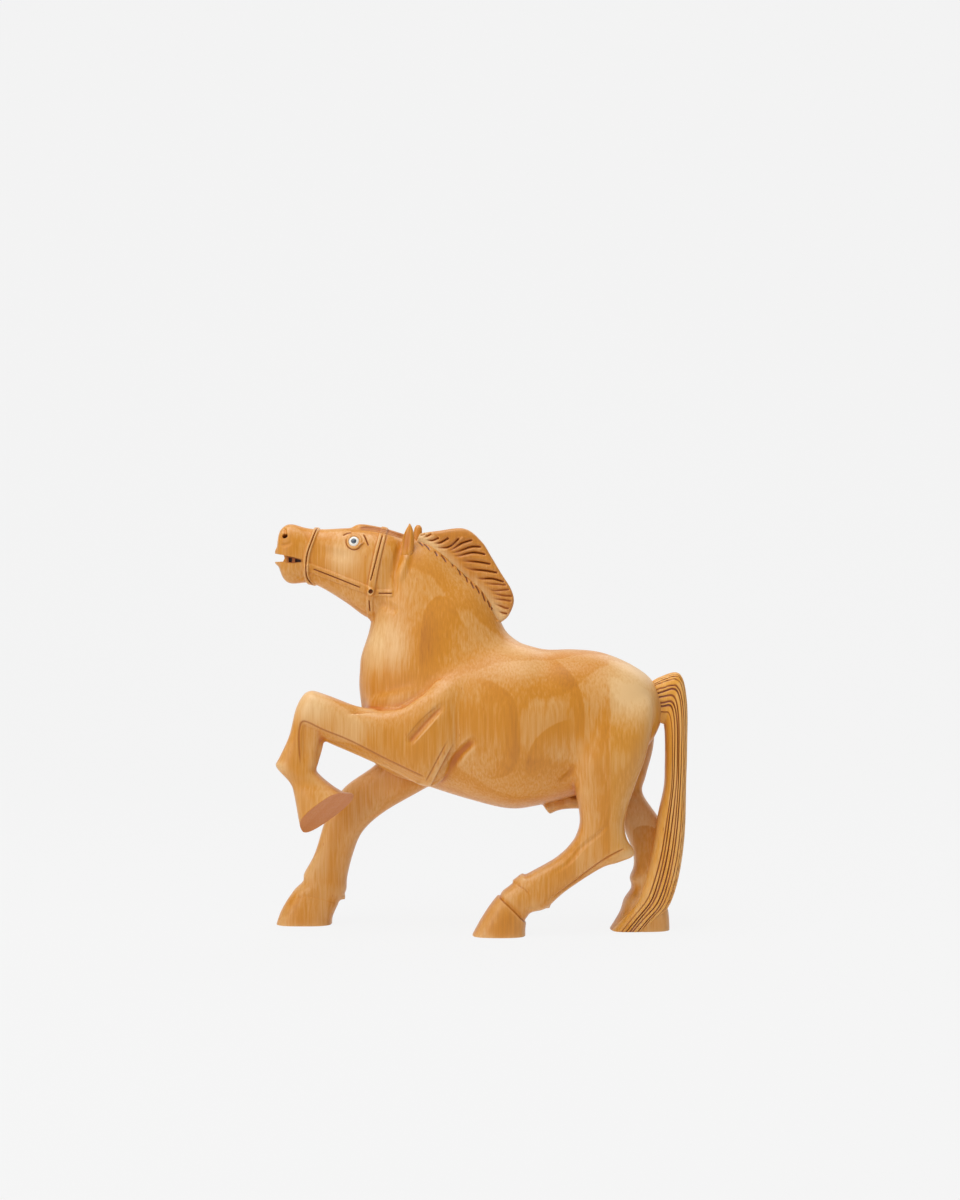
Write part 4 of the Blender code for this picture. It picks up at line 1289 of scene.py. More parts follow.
# The mouth's opening in front, the shallow recess behind it on each side, and the gaps that
# are cut deeper there, between which a tooth is left standing.
MOUTH = [
    (-106, 188.7), (-101.6, 187.5), (-97.4, 186.8), (-97.0, 185.2), (-97.8, 183.6),
    (-101.8, 183.5), (-106, 183.6),
]
MOUTH_RECESS = [
    (-98.0, 186.9), (-93.0, 185.9), (-88.2, 184.7), (-87.8, 183.3), (-92.5, 182.7),
    (-96.0, 183.0), (-98.4, 183.7),
]
TOOTH_GAPS = [
    [(-95.1, 185.7), (-93.3, 185.3), (-93.4, 183.2), (-95.0, 183.3)],
    [(-91.9, 185.1), (-88.9, 184.4), (-88.9, 183.3), (-91.8, 183.2)],
]
# A place inside each block, by node name, that tells the parted bodies from one another.
BLOCK_CENTRES = {
    "barrel": (10, 0, 100), "rump": (75, 0, 110), "neck": (-20, 0, 150), "head": (-70, 0, 185),
    "right_foreleg": (-72, 18, 45), "left_hind_leg": (45, -17, 33),
    "right_hind_leg": (76, 12, 58),
}


def arc(centre: Point, radius: float, first: float, last: float) -> list[Point]:
    """Points on a circle in the side view, between two angles in degrees."""
    angles = np.radians(np.linspace(first, last, 17))
    return [(centre[0] + radius * cos(angle), centre[1] + radius * sin(angle))
            for angle in angles]


@dataclass
class CarvedBody:
    """The trunk, neck, head and legs, carved as one and parted into the glued-up blocks.

    Attributes:
        wood: The finish of every block but the rump.
        rump_wood: The finish of the rump's paler block.
        trunk_width: The trunk's width across Y, as are neck_width, head_width,
            forelock_width and sheath_width of their forms.
        left_foreleg: Its width, and how far its centre lies inside the trunk's side, as for
            right_foreleg, left_hind_leg and right_hind_leg.
        allowance: What the sanding takes off, which the rough forms are larger by.
        voxel: The spacing of the skin's squares.
        first_easing: How often the whole skin is eased at first.
        second_easing: How often it is eased again, except at the crisp places.
        crisp: Places whose edges stay crisp: x, y, z and radius.
        pocket_floor: The Y at which the raised foreleg's block ends inside the barrel.
        blends: Places where a form flows into the next: x, y, z, radius and how often the
            skin is eased there.
        shades: Broad painted light and shade, partly the wood's own tone: x, z, radius, side, and
            how much darker it is; below 0 it is lighter.
        sole_centre: A place on the raised hoof's sole.
        sole_normal: The way that the sole faces.
        sole_shade: How deep an orange painted shade the sole takes, as a hollow does; it faces
            down.
        raised_hoof: The raised hoof lies in front of this x, nearer than this y and below
            this z.
        fine_head: The head's skin, in front of this x and above this z, is made finer.
        fine_slope: It is so only in front of the line to the neck: the line's normal, as
            (x, z), and its place along it.
    """
    wood: Material
    rump_wood: Material
    trunk_width: float = 61.0
    neck_width: float = 44.0
    head_width: float = 24.0
    forelock_width: float = 6.0
    sheath_width: float = 8.0
    left_foreleg: Point = (22.0, 10.5)
    right_foreleg: Point = (20.0, 12.5)
    left_hind_leg: Point = (24.0, 13.5)
    right_hind_leg: Point = (20.0, 15.5)
    allowance: float = 0.4
    voxel: float = 0.62
    first_easing: int = 3
    second_easing: int = 9
    crisp: Sequence[tuple[float, float, float, float]] = (
        (31, -17, 14.5, 5), (18, -17, 25.5, 4.5), (-70, 18, 14, 4.5), (-88, 18, 25.5, 4),
    )
    pocket_floor: float = -9.8
    blends: Sequence[tuple[float, float, float, float, int]] = (
        (64, -27, 112, 24, 120), (66, 25, 112, 24, 120), (-2, -26, 118, 20, 90),
        (-22, 24, 108, 22, 90), (-18, -22, 140, 26, 240), (-18, 22, 140, 26, 240),
        (8, -22, 141, 22, 320), (8, 22, 141, 22, 320), (20, 0, 145, 20, 60),
        (60, 20, 78, 12, 40), (46, -28, 98, 18, 260), (44, -26, 80, 11, 120),
        (-48, -25, 111, 10, 40),
    )
    shades: Sequence[tuple[float, float, float, Side, float]] = (
        (-82, 113, 15, Side.NEAR, -0.4), (-60, 105, 18, Side.NEAR, -0.16),
        (-68, 186, 13, Side.ROUND, -0.3), (-46, 142, 20, Side.ROUND, -0.4),
        (-94, 192, 12, Side.ROUND, 0.14), (-26, 176, 16, Side.ROUND, 0.03),
        (-5, 106, 20, Side.NEAR, 0.1), (15, 75, 22, Side.ROUND, 0.03),
        (20, 140, 22, Side.ROUND, -0.16), (76, 122, 26, Side.ROUND, -0.5),
        (-22, 148, 20, Side.ROUND, 0.12),
        # Painted shade on the near hind hoof, and painted light on the far hind leg, which lies in
        # shadow.
        (12, 8, 16, Side.NEAR, 0.2), (80, 45, 34, Side.FAR, -0.34),
        (-36, 188, 10, Side.NEAR, 0.12), (-90, 40, 30, Side.FAR, -0.06),
    )
    sole_centre: tuple[float, float, float] = (-76.7, -10.0, 54.1)
    sole_normal: tuple[float, float, float] = (0.525, -0.462, -0.715)
    sole_shade: float = 0.8
    raised_hoof: tuple[float, float, float] = (-58.0, -4.0, 78.0)
    fine_head: Point = (-36.0, 152.0)
    fine_slope: tuple[float, float, float] = (0.777, -0.629, -128.0)

    def leg(self, name: str, ribs: Sequence[Rib], sizes: Point, side: int) -> Limb:
        """A leg, set in from the trunk's side."""
        width, inset = sizes
        return Limb(name, ribs, width, side * (self.trunk_width / 2 - inset), 3.0, self.allowance)

    def forms(self) -> list[Limb]:
        """The rough forms that are melted together."""
        grow = self.allowance
        return [
            Limb("trunk", TRUNK, self.trunk_width, 0, 2.3, grow),
            Limb("neck_form", NECK, self.neck_width, 0, 2.2, grow),
            Limb("head_form", HEAD, self.head_width, 0, 2.6, grow),
            Limb("forelock", FORELOCK, self.forelock_width, 0, 2.2, 0.1),
            Limb("upper_lip", UPPER_LIP, 11.0, 0, 2.2, 0.2),
            Limb("lower_lip", LOWER_LIP, 10.0, 0, 2.2, 0.2),
            Limb("sheath", SHEATH, self.sheath_width, 0, 2.2, grow),
            self.leg("left_foreleg_form", LEFT_FORELEG, self.left_foreleg, -1),
            self.leg("right_foreleg_form", RIGHT_FORELEG, self.right_foreleg, 1),
            self.leg("left_hind_leg_form", LEFT_HIND_LEG, self.left_hind_leg, -1),
            self.leg("right_hind_leg_form", RIGHT_HIND_LEG, self.right_hind_leg, 1),
            self.leg("near_hind_spur", NEAR_HIND_SPUR, (13, self.left_hind_leg[1]), -1),
            self.leg("near_hind_knuckle", NEAR_HIND_KNUCKLE, (14, self.left_hind_leg[1]), -1),
            self.leg("far_fore_spur", FAR_FORE_SPUR, (12, self.right_foreleg[1]), 1),
            self.leg("far_fore_knuckle", FAR_FORE_KNUCKLE, (13, self.right_foreleg[1]), 1),
        ]

    def shoulder_strokes(self) -> list[Stroke]:
        """The lines round the near shoulder, forearm and elbow.

        Returns:
            The strokes.
        """
        leg = (-60.0, -20.0)
        edge = [(-87, 81.2), (-88, 93.7), (-87.7, 102.5), (-85.2, 105.6), (-76.6, 101.7),
                (-63, 96.2), (-44, 86.5), (-25.4, 77.8)]
        return [
            Stroke([(-58, 109.5), (-48, 110.5), (-38.3, 111.7), (-32, 115.6), (-26.6, 119.4),
                    (-20.8, 125.2), (-10, 130)], 6.0, 1.3, Form.STEP, taper=(0.0, 0.5)),
            Stroke([(-50, 110.2), (-38.3, 111.7), (-32, 115.6), (-26.6, 119.4), (-22, 124)],
                   0.5, 0.15, Form.VEE, taper=(0.3, 0.5), shade_and_varnish=0.08),
            Stroke([(-16.4, 115), (-26.1, 105.2), (-35.4, 94.4)], 2.8, 1.4, Form.VEE,
                   y_range=leg, taper=(0.25, 0.15)),
            Stroke([(-17.6, 115), (-28.2, 106.8), (-36.2, 97.0)], 0.6, 0.15, Form.ROUND,
                   y_range=leg, taper=(0.3, 0.2), shade_and_varnish=0.2),
            # A raised ridge along the scoop's lower edge, with a painted highlight.
            Stroke([(-16.8, 112.4), (-24.2, 103.6), (-33.6, 93.4)], 0.7, -0.2, Form.ROUND,
                   y_range=leg, taper=(0.3, 0.2), tone=-0.2),
            Stroke(edge, 2.2, 1.2, Form.BEVEL, y_range=leg, taper=(0.1, 0.05)),
            Stroke(edge, 0.8, 0.35, Form.VEE, y_range=leg, taper=(0.1, 0.05), shade_and_varnish=0.42),
            Stroke([(-12.1, 96.2), (-18, 85), (-23.7, 73.9)], 5.0, 1.7, Form.STEP,
                   taper=(0.4, 0.0)),
            Stroke([(-26.6, 75.6), (-20.6, 87), (-14.8, 97.6)], 0.6, 0.5, Form.VEE,
                   taper=(0.1, 0.3), shade_and_varnish=0.3),
            # The hollow behind the elbow, with painted shade in it.
            Stroke([(-1.0, 97.9), (-7.4, 92.4), (-12.4, 86), (-16.5, 79.5)], 3.3, 1.7,
                   Form.ROUND, taper=(0.3, 0.5), shade_and_varnish=0.1, tone=0.25),
        ]

    def growth_rings(self) -> list[Stroke]:
        """The widest growth rings of the near side: darker to the left of each line."""
        routes = (
            ([(-4.3, 146.9), (-9.9, 155.7), (-13.2, 163), (-18.8, 166.6), (-25.2, 163),
              (-28.5, 153.3), (-29.7, 139.6), (-30.1, 121.1)], 15.0, 0.15),
            ([(-47.8, 152), (-47.8, 137), (-47.8, 122)], 6.0, 0.12),
            ([(0, 76.6), (13.3, 79.2), (18.7, 88.6), (19.4, 102), (16, 116.8), (5.3, 124.8),
              (-8.1, 128.8)], 9.0, 0.16),
            ([(50.6, 92), (50.8, 112.7), (46.8, 124.8), (40.1, 132.8), (32.1, 138)], 10.0, 0.2),
            ([(45.5, 107.3), (34.8, 103.4), (26.7, 96.6), (22.7, 87.3), (22.1, 77.9)], 12.0, 0.17),
            ([(62.9, 30), (62.9, 90), (62.9, 140)], 5.0, 0.1),
        )
        return [Stroke(route, half, 0.0, Form.STEP, taper=(0.2, 0.2), tone=tone)
                for route, half, tone in routes]

    def hind_strokes(self) -> list[Stroke]:
        """The lines on the near hind leg."""
        leg = (-60.0, -17.0)
        return [
            Stroke([(7.0, 21.0), (14.1, 15), (22.6, 6.5)], 2.6, 0.9, Form.STEP,
                   side=Side.ROUND, y_range=(-60, 0), taper=(0.0, 0.0)),
            Stroke([(8.0, 20.3), (14.1, 15), (21.6, 7.5)], 0.45, 0.25, Form.VEE, y_range=leg,
                   taper=(0.0, 0.0), shade_and_varnish=0.35),
            Stroke([(17.5, 25.8), (21.6, 23.6), (24.8, 20.4)], 0.7, 0.4, Form.VEE,
                   y_range=leg, taper=(0.2, 0.3), shade_and_varnish=0.2),
            # The fold of the flank, with painted shade in it.
            Stroke([(48, 88), (43.5, 79.5), (37, 74.5)], 2.4, 0.5, Form.ROUND, taper=(0.5, 0.3),
                   tone=0.2),
            Stroke([(71, 43.6), (61.9, 38.9), (51.7, 31.4), (44.9, 25.9), (30, 15.5)], 0.85, 0.7,
                   Form.ROUND, y_range=leg, taper=(0.05, 0.35), shade_and_varnish=0.22),
            Stroke([(62.5, 58), (60.5, 53.0), (49.6, 43.8), (42.1, 35.5), (30, 27.5)], 1.9, 0.5,
                   Form.ROUND, y_range=leg, taper=(0.2, 0.4)),
        ]

    def hoof_strokes(self) -> list[Stroke]:
        """The hair line above the far fore hoof, and the line above the sheath."""
        return [
            Stroke([(-97.5, 13), (-88, 14.5), (-76, 12), (-69, 8)], 2.2, 0.2, Form.STEP,
                   side=Side.ROUND, taper=(0.1, 0.1)),
            Stroke([(33.5, 62.8), (37, 65.3), (41, 66.8), (49, 66.2)], 1.0, 1.1, Form.VEE,
                   y_range=(-6, 0), taper=(0.1, 0.1), shade_and_varnish=0.5),
        ]

    def jaw_strokes(self) -> list[Stroke]:
        """The hollow before the ear, the ridge below it, and the soft hollows of the face."""
        return [
            # The hollow before the ear, with a little painted shade in it.
            Stroke([(-38.3, 195), (-40.8, 186), (-42.2, 178), (-42.0, 170), (-42.5, 160.5)],
                   3.0, 0.7, Form.ROUND, taper=(0.2, 0.4), tone=0.08),
            Stroke([(-35.6, 189.5), (-36.6, 184.5), (-38.5, 178), (-40.3, 171)], 3.2, -1.1,
                   Form.ROUND, taper=(0.25, 0.5)),
            Stroke([(-50, 164), (-44.5, 161), (-40, 158)], 3.5, 0.8, Form.ROUND, taper=(0.3, 0.3)),
            Stroke([(-83, 190), (-72, 187), (-60, 184)], 4.0, 0.45, Form.ROUND, taper=(0.4, 0.4)),
        ]

    def bridle_strokes(self) -> list[Stroke]:
        """The bridle's raised straps, and the dark lines cut along them.

        Returns:
            The strokes.
        """
        noseband = [(-80.9, 201.5), (-83.2, 194.5), (-85.6, 187.3), (-86.3, 180.8),
                    (-85.9, 175.4), (-83, 171.2)]
        cheek = [(-85.0, 180.7), (-70, 175.0), (-54, 168.8)]
        cheekpiece = [(-54, 168.8), (-51.2, 184), (-47.8, 199.5)]
        throat = [(-54, 168.8), (-54.6, 163), (-54.3, 155.5)]
        rein = [(-54, 168.0), (-42.5, 167.8)]
        return [
            Stroke(cheek, 2.0, -0.55, Form.BAND, taper=(0.0, 0.0)),
            Stroke(cheekpiece, 1.8, -0.9, Form.BAND, taper=(0.0, 0.0)),
            Stroke([(-56.1, 170.5), (-53.3, 184), (-50.0, 198)], 0.4, 0.2, Form.VEE, shade_and_varnish=0.25),
            Stroke([(-51.9, 170.5), (-49.1, 184), (-45.8, 198)], 0.4, 0.2, Form.VEE, shade_and_varnish=0.25),
            Stroke(throat, 1.5, -0.6, Form.BAND, taper=(0.0, 0.0)),
            Stroke(rein, 1.6, -0.45, Form.BAND, taper=(0.0, 0.12)),
            Stroke(noseband, 1.3, -0.85, Form.BAND, side=Side.ROUND, taper=(0.0, 0.0)),
            Stroke(noseband, 0.42, 0.8, Form.VEE, taper=(0.04, 0.04), shade_and_varnish=1.0),
            Stroke([(-83.0, 179.95), (-71, 175.3), (-58.9, 170.5)], 0.42, 0.75, Form.VEE,
                   taper=(0.04, 0.04), shade_and_varnish=1.0),
            Stroke([(-54.1, 173.7), (-52.2, 180.6), (-50.6, 187.1), (-48.2, 197)], 0.42, 0.75,
                   Form.VEE, taper=(0.04, 0.04), shade_and_varnish=1.0),
            Stroke([(-54.9, 164.8), (-54.5, 158.4)], 0.4, 0.7, Form.VEE, shade_and_varnish=1.0),
            Stroke([(-50.6, 167.8), (-43, 167.8)], 0.4, 0.7, Form.VEE, shade_and_varnish=1.0),
        ]

    def eye_and_nose_strokes(self) -> list[Stroke]:
        """The folds of the brow, the nostril and the lip, and the lids round the eye."""
        ring = (-62.3, 193.5)
        return [
            Stroke([(-57.9, 197.4), (-56.4, 194.4), (-55.0, 191)], 0.45, 0.7, Form.VEE, shade_and_varnish=1.0),
            Stroke([(-97.4, 200.6), (-96.9, 198.3), (-96.5, 195.5)], 1.3, 1.0, Form.ROUND,
                   taper=(0.3, 0.1)),
            Stroke([(-99.8, 192.5), (-96.5, 191.8), (-92.5, 193.5)], 1.6, 0.4, Form.ROUND,
                   taper=(0.3, 0.4)),
            Stroke(arc(ring, 3.15, -5, 355), 0.75, -0.6, Form.BAND, taper=(0.0, 0.0), tone=0.15),
            Stroke(arc(ring, 4.05, 150, 330), 0.5, 0.45, Form.VEE, shade_and_varnish=0.55),
            Stroke([(-60.6, 191.3), (-58.8, 191.9), (-57.2, 193.2)], 0.9, -0.55, Form.ROUND,
                   taper=(0.2, 0.3), tone=0.5),
            Stroke([(-68.2, 196.4), (-66.0, 197.6), (-63.5, 198.0)], 0.5, 0.5, Form.VEE,
                   shade_and_varnish=0.7),
        ]

    def forelock_strokes(self) -> list[Stroke]:
        """The forelock's strands and a darker band along it."""
        strands = [Stroke([(-62, 199.6 + lift / 3), (-55, 199.2 + lift), (-46, 197.4 + lift),
                           (-37, 194.8 + lift / 2)], 0.4, 0.35, Form.VEE, shade_and_varnish=0.45)
                   for lift in (0.0, 0.8, 1.6)]
        return strands + [Stroke([(-61, 201), (-55, 200.6), (-45, 198.8), (-35, 195.6)], 2.0, 0.0,
                                 Form.ROUND, taper=(0.1, 0.0), tone=0.5)]

    def head_strokes(self) -> list[Stroke]:
        """Every line on the head, on both sides."""
        strokes = (self.jaw_strokes() + self.bridle_strokes() + self.eye_and_nose_strokes()
                   + self.forelock_strokes())
        return strokes + [stroke.far() for stroke in strokes if stroke.side is Side.NEAR]

    def neck_strokes(self) -> list[Stroke]:
        """The short nicks along the mane's root, and the valley at its lower end.

        Returns:
            The strokes of both sides.
        """
        strokes = [Stroke(route, 0.6, 0.5, taper=(0.2, 0.3), shade_and_varnish=1.0) for route in NECK_NICKS]
        strokes.append(Stroke([(6.8, 160.7), (8.1, 157.6), (9.3, 153.9)], 1.6, 1.2, Form.ROUND))
        return strokes + [stroke.far() for stroke in strokes]

    def strokes(self) -> list[Stroke]:
        """Every line that is cut into the body."""
        return (self.shoulder_strokes() + self.hind_strokes() + self.hoof_strokes()
                + self.head_strokes() + self.neck_strokes() + self.growth_rings())

    def skin(self) -> Object:
        """Melt the forms together, ease the skin, and cut the lines into it.

        Returns:
            The carved skin.
        """
        body = fused("carving", [form.body() for form in self.forms()], self.voxel)
        surface = Surface(body.data)
        surface.smooth(self.first_easing)
        rough = surface.places.copy()
        surface.smooth(self.second_easing)
        for *place, radius in self.crisp:
            distance = np.linalg.norm(rough - place, axis=1)
            core, rim = 0.6 * radius, 1.2 * radius
            share = 1 - smoothstep(core, rim, distance)
            surface.places += (rough - surface.places) * share[:, None]
        for x, y, z, radius, passes in self.blends:
            surface.smooth_near((x, y, z), radius, passes)
        surface.write()
        x, _, z = surface.places.T
        along_x, along_z, limit = self.fine_slope
        head = ((x < self.fine_head[0]) & (z > self.fine_head[1])
                & (x * along_x + z * along_z < limit))
        refine(body, head, longest=0.2)
        strokes = self.strokes()
        refine_near(body, strokes, longest=0.4)
        refine_near(body, self.neck_strokes(), longest=0.2)
        surface = Surface(body.data)
        # Broad painted light and shade, partly the wood's own tone.
        for x, z, radius, side, amount in self.shades:
            distance = np.hypot(surface.places[:, 0] - x, surface.places[:, 2] - z)
            here = surface.places[:, 1] * side.value >= 0
            surface.tone += amount * here * (1 - smoothstep(0.0, radius, distance))
        surface.carve(strokes)
        surface.keep_hollows(fine=16, fine_depth=0.3, broad=110, broad_depth=1.3)
        return body

    def glue_planes(self) -> list[GluePlane]:
        """The joints of the rump, the hind legs, the far foreleg, the neck and the head."""
        return [
            GluePlane(((63.5, 20), (63.5, 155))),
            GluePlane(((40, 63), (63.5, 63)), (-60.0, -4.6)),
            GluePlane(((60, 68), (95, 68)), (0.0, 60.0)),
            GluePlane(((-66, 85.5), (-20, 62.5)), (0.0, 60.0)),
            GluePlane(((-66, 113.3), (30, 150.5))),
            GluePlane(((-64, 136.3), (-5, 209.2))),
        ]

    def cut_sole(self, bm: BMesh) -> None:
        """Cut the raised hoof off flat along its sole and close the cut.

        Args:
            bm: The carved skin.
        """
        x, y, z = Vector(self.raised_hoof) * MM
        hoof = []
        for face in bm.faces:
            middle = face.calc_center_median()
            if middle.x < x and middle.y < y and middle.z < z:
                hoof.append(face)
        sole = bmesh.ops.bisect_plane(bm, geom=whole(hoof), dist=ON_PLANE,
                                      plane_co=Vector(self.sole_centre) * MM,
                                      plane_no=self.sole_normal, clear_outer=True)["geom_cut"]
        hollow = bm.verts.layers.float["hollow"]
        for vert in verts_in(sole):
            # Painted shade on the sole, which faces down.
            vert[hollow] = self.sole_shade
        close_holes(bm)

    def blocks(self) -> dict[str, Object]:
        """Part the body along the glue planes.

        Returns:
            The blocks, by node name; the raised foreleg is still on the barrel.
        """
        body = self.skin()
        bm = bmesh_of(body)
        discard(body)
        stand_flat(bm)
        self.cut_sole(bm)
        for plane in self.glue_planes():
            plane.part(bm)
        pieces = []
        for island in islands(bm):
            block = bm.copy()
            mine = {vert.index for vert in island}
            block.verts.ensure_lookup_table()
            stray = [vert for vert in block.verts if vert.index not in mine]
            bmesh.ops.delete(block, geom=stray, context="VERTS")
            pieces.append(object_from("block", block))
        bm.free()
        found = {}
        for name, centre in BLOCK_CENTRES.items():
            found[name] = next(piece for piece in pieces
                               if contains(piece, Vector(centre) * MM))
            found[name].name = f"carved_{name}"
        log.info("%d islands for %d blocks", len(pieces), len(BLOCK_CENTRES))
        return found

    def build(self) -> dict[str, Object]:
        """Make the blocks and part the raised foreleg from the barrel.

        Returns:
            The blocks, by node name.
        """
        found = self.blocks()
        pocket = prism("pocket", FORELEG_OUTLINE, -self.trunk_width, self.pocket_floor)
        leg = new_object("carved_left_foreleg", found["barrel"].data.copy())
        combine(leg, pocket, "INTERSECT")
        combine(found["barrel"], pocket, "DIFFERENCE")
        discard(pocket)
        found["left_foreleg"] = leg
        return found

    def dress(self, blocks: dict[str, Object]) -> None:
        """Give every block its finish and let it stand for its node.

        Args:
            blocks: The blocks, by node name.
        """
        for name, block in blocks.items():
            wood = self.rump_wood if name == "rump" else self.wood
            finish_piece(block, name, wood)


@dataclass
class Face:
    """What is cut into the head, and the eyes that are let into it.

    Attributes:
        white: The finish of the eye's disc.
        dark: The finish of its pupil.
        eye: The eye's middle.
        eye_diameter: The white disc's diameter.
        eye_depth: How deep the disc is let in.
        pupil: The pupil's diameter and thickness.
        nostril: The nostril's place, diameter and depth.
        rosette: The hole in the middle of the bridle's rosette: place, diameter and depth.
        dark_depth: The depths at which painted shade starts to darken an opening's walls,
            and at which it is darkest.
        lip: The place at the mouth's corner from which its depths are measured.
        recess_depth: How deep the recess beside the teeth is.
        gap_depth: How deep the gaps beside a tooth are.
    """
    white: Material
    dark: Material
    eye: Point = (-62.5, 193.5)
    eye_diameter: float = 5.2
    eye_depth: float = 2.5
    pupil: Point = (2.7, 1.2)
    nostril: tuple[Point, float, float] = ((-96.7, 196.1), 2.9, 3.0)
    rosette: tuple[Point, float, float] = ((-53.9, 168.8), 2.2, 2.2)
    dark_depth: Point = (0.4, 1.7)
    lip: Point = (-93.0, 185.0)
    recess_depth: float = 1.1
    gap_depth: float = 3.0

    def drill(self, head: Object, hole: tuple[Point, float, float], side: int) -> Object:
        """A cutter for a round hole, square to the head's side.

        Args:
            head: The head before its openings are cut.
            hole: The hole's place, diameter and depth.
            side: -1 for the near side, 1 for the far side.

        Returns:
            The cutter.
        """
        (x, z), diameter, depth = hole
        place, normal = skin_at(head, x, z, side)
        return cylinder("drill", place, normal, diameter, depth * 2)

    def mouth(self, head: Object) -> Object:
        """A cutter for the open mouth: clear through in front, and beside the teeth behind.

        Args:
            head: The head before its openings are cut.

        Returns:
            The cutter.
        """
        outside = 25.0
        opening = prism("mouth", MOUTH, -20, 20)
        cuts = [(MOUTH_RECESS, self.recess_depth)] + [(gap, self.gap_depth) for gap in TOOTH_GAPS]
        for side in (-1, 1):
            wall = skin_at(head, *self.lip, side, 1.0)[0].y / MM
            for outline, depth in cuts:
                low, high = sorted((wall - side * depth, side * outside))
                tool = prism("beside_teeth", outline, low, high)
                combine(opening, tool, "UNION")
                discard(tool)
        return opening

    def inlay(self, name: str, head: Object, side: int, profile: Sequence[Point]) -> Object:
        """A turned disc, let into the head at the eye.

        Args:
            name: Its name.
            head: The head before its openings are cut.
            side: -1 for the left eye, 1 for the right one.
            profile: Its section, as (radius, height above the head's side).

        Returns:
            The disc.
        """
        bm = bmesh.new()
        verts = [bm.verts.new((radius * MM, 0, height * MM)) for radius, height in profile]
        for one, two in zip(verts, verts[1:]):
            bm.edges.new((one, two))
        bmesh.ops.spin(bm, geom=list(bm.verts) + list(bm.edges), cent=(0, 0, 0), axis=(0, 0, 1),
                       angle=2 * pi, steps=48, use_merge=True)
        bmesh.ops.remove_doubles(bm, verts=bm.verts, dist=SAME_PLACE)
        bmesh.ops.recalc_face_normals(bm, faces=bm.faces)
        place, normal = skin_at(head, *self.eye, side)
        place_on(bm, place, normal)
        return object_from(name, bm)

    def eye_profile(self) -> list[Point]:
        """The white disc's section: domed, with a seat for the pupil.

        Returns:
            Its corners, as (radius, height above the head's side).
        """
        outer = self.eye_diameter / 2
        inner = self.pupil[0] / 2
        return [(0, -self.eye_depth), (outer, -self.eye_depth), (outer, 0.05),
                (outer - 0.12, 0.22), (outer - 0.5, 0.42), (inner + 0.25, 0.62),
                (inner + 0.05, 0.64), (inner, 0.58), (inner, 0.64 - self.pupil[1]),
                (0, 0.64 - self.pupil[1])]

    def pupil_profile(self) -> list[Point]:
        """The pupil's section: a low dome."""
        outer = self.pupil[0] / 2 - 0.02
        return [(0, 0.66 - self.pupil[1]), (outer, 0.66 - self.pupil[1]), (outer, 0.6),
                (outer - 0.12, 0.7), (outer * 0.55, 0.82), (0, 0.86)]

    def build(self, head: Object) -> None:
        """Make the eyes, then cut the mouth, nostrils, rosettes and eye sockets.

        Args:
            head: The head's block.
        """
        drills = []
        for side, label in ((-1, "left"), (1, "right")):
            eye = self.inlay(f"{label}_eye_disc", head, side, self.eye_profile())
            pupil = self.inlay(f"{label}_eye_pupil", head, side, self.pupil_profile())
            finish_piece(eye, f"{label}_eye", self.white, 40)
            finish_piece(pupil, f"{label}_pupil", self.dark, 40)
            socket = (self.eye, self.eye_diameter + 0.1, self.eye_depth + 0.05)
            drills += [self.drill(head, hole, side)
                       for hole in (self.nostril, self.rosette, socket)]
        tools = [self.mouth(head), joined("drills", drills)]
        skin = tree_of(head)
        walls = [tree_of(tool) for tool in tools]
        for tool in tools:
            combine(head, tool, "DIFFERENCE")
            discard(tool)
        surface = Surface(head.data)
        # Painted shade: the walls of the openings darken with their depth below the skin.
        for index, place in enumerate(surface.places):
            corner = Vector(place) * MM
            if any(wall.find_nearest(corner, ON_WALL)[0] is not None for wall in walls):
                depth = skin.find_nearest(corner)[3] / MM
                surface.shade_and_varnish[index] = smoothstep(*self.dark_depth, depth)
        surface.keep("shade_and_varnish", surface.shade_and_varnish)


@dataclass
class Ears:
    """The two upright ears, scooped out in front.

    Attributes:
        wood: Their finish.
        width: Their width across Y.
        inset: How far their centres lie from the middle.
        scoop: How deep the front is hollowed.
        turn: How far the scoop is turned outwards, in degrees.
        rim: The scoop's rim and floor, as the cosine of the angle from its middle.
        rise: Where the scoop starts and is deepest, as a share of the ear's height.
        fade: Where it gets shallower and ends.
        scoop_shade: How deep an orange painted shade its floor takes, as a hollow does.
    """
    wood: Material
    width: float = 4.9
    inset: float = 8.7
    scoop: float = 0.9
    turn: float = 72.0
    rim: Point = (0.72, 0.98)
    rise: Point = (0.2, 0.4)
    fade: Point = (0.5, 0.8)
    scoop_shade: float = 0.7

    def ear(self, name: str, ribs: Sequence[Rib], side: int) -> Object:
        """One ear.

        Args:
            name: Its name.
            ribs: Its cross-sections.
            side: -1 for the left ear, 1 for the right one.

        Returns:
            The object.
        """
        limb = Limb(name, ribs, self.width, side * self.inset, 2.3)
        rings, angles = limb.rings()
        turn = radians(self.turn)
        bowl = smoothstep(*self.rim, np.cos(angles - side * turn))
        height = np.linspace(0, 1, len(rings))
        shares = smoothstep(*self.rise, height) * (1 - smoothstep(*self.fade, height))
        depths = []
        for ring, share in zip(rings, shares):
            depth = self.scoop * share * bowl
            ring[:, 0] += depth * cos(turn)
            ring[:, 1] -= side * depth * sin(turn)
            # Painted shade in the scoop, darkest where it is deepest.
            depths.append(self.scoop_shade * depth / self.scoop)
        ear = object_from(name, swept(rings))
        surface = Surface(ear.data)
        surface.keep("hollow", np.concatenate(depths)[:len(surface.places)])
        return ear

    def build(self) -> None:
        """Make both ears."""
        finish_piece(self.ear("carved_left_ear", EAR, -1), "left_ear", self.wood)
        finish_piece(self.ear("carved_right_ear", FAR_EAR, 1), "right_ear",
                     self.wood)


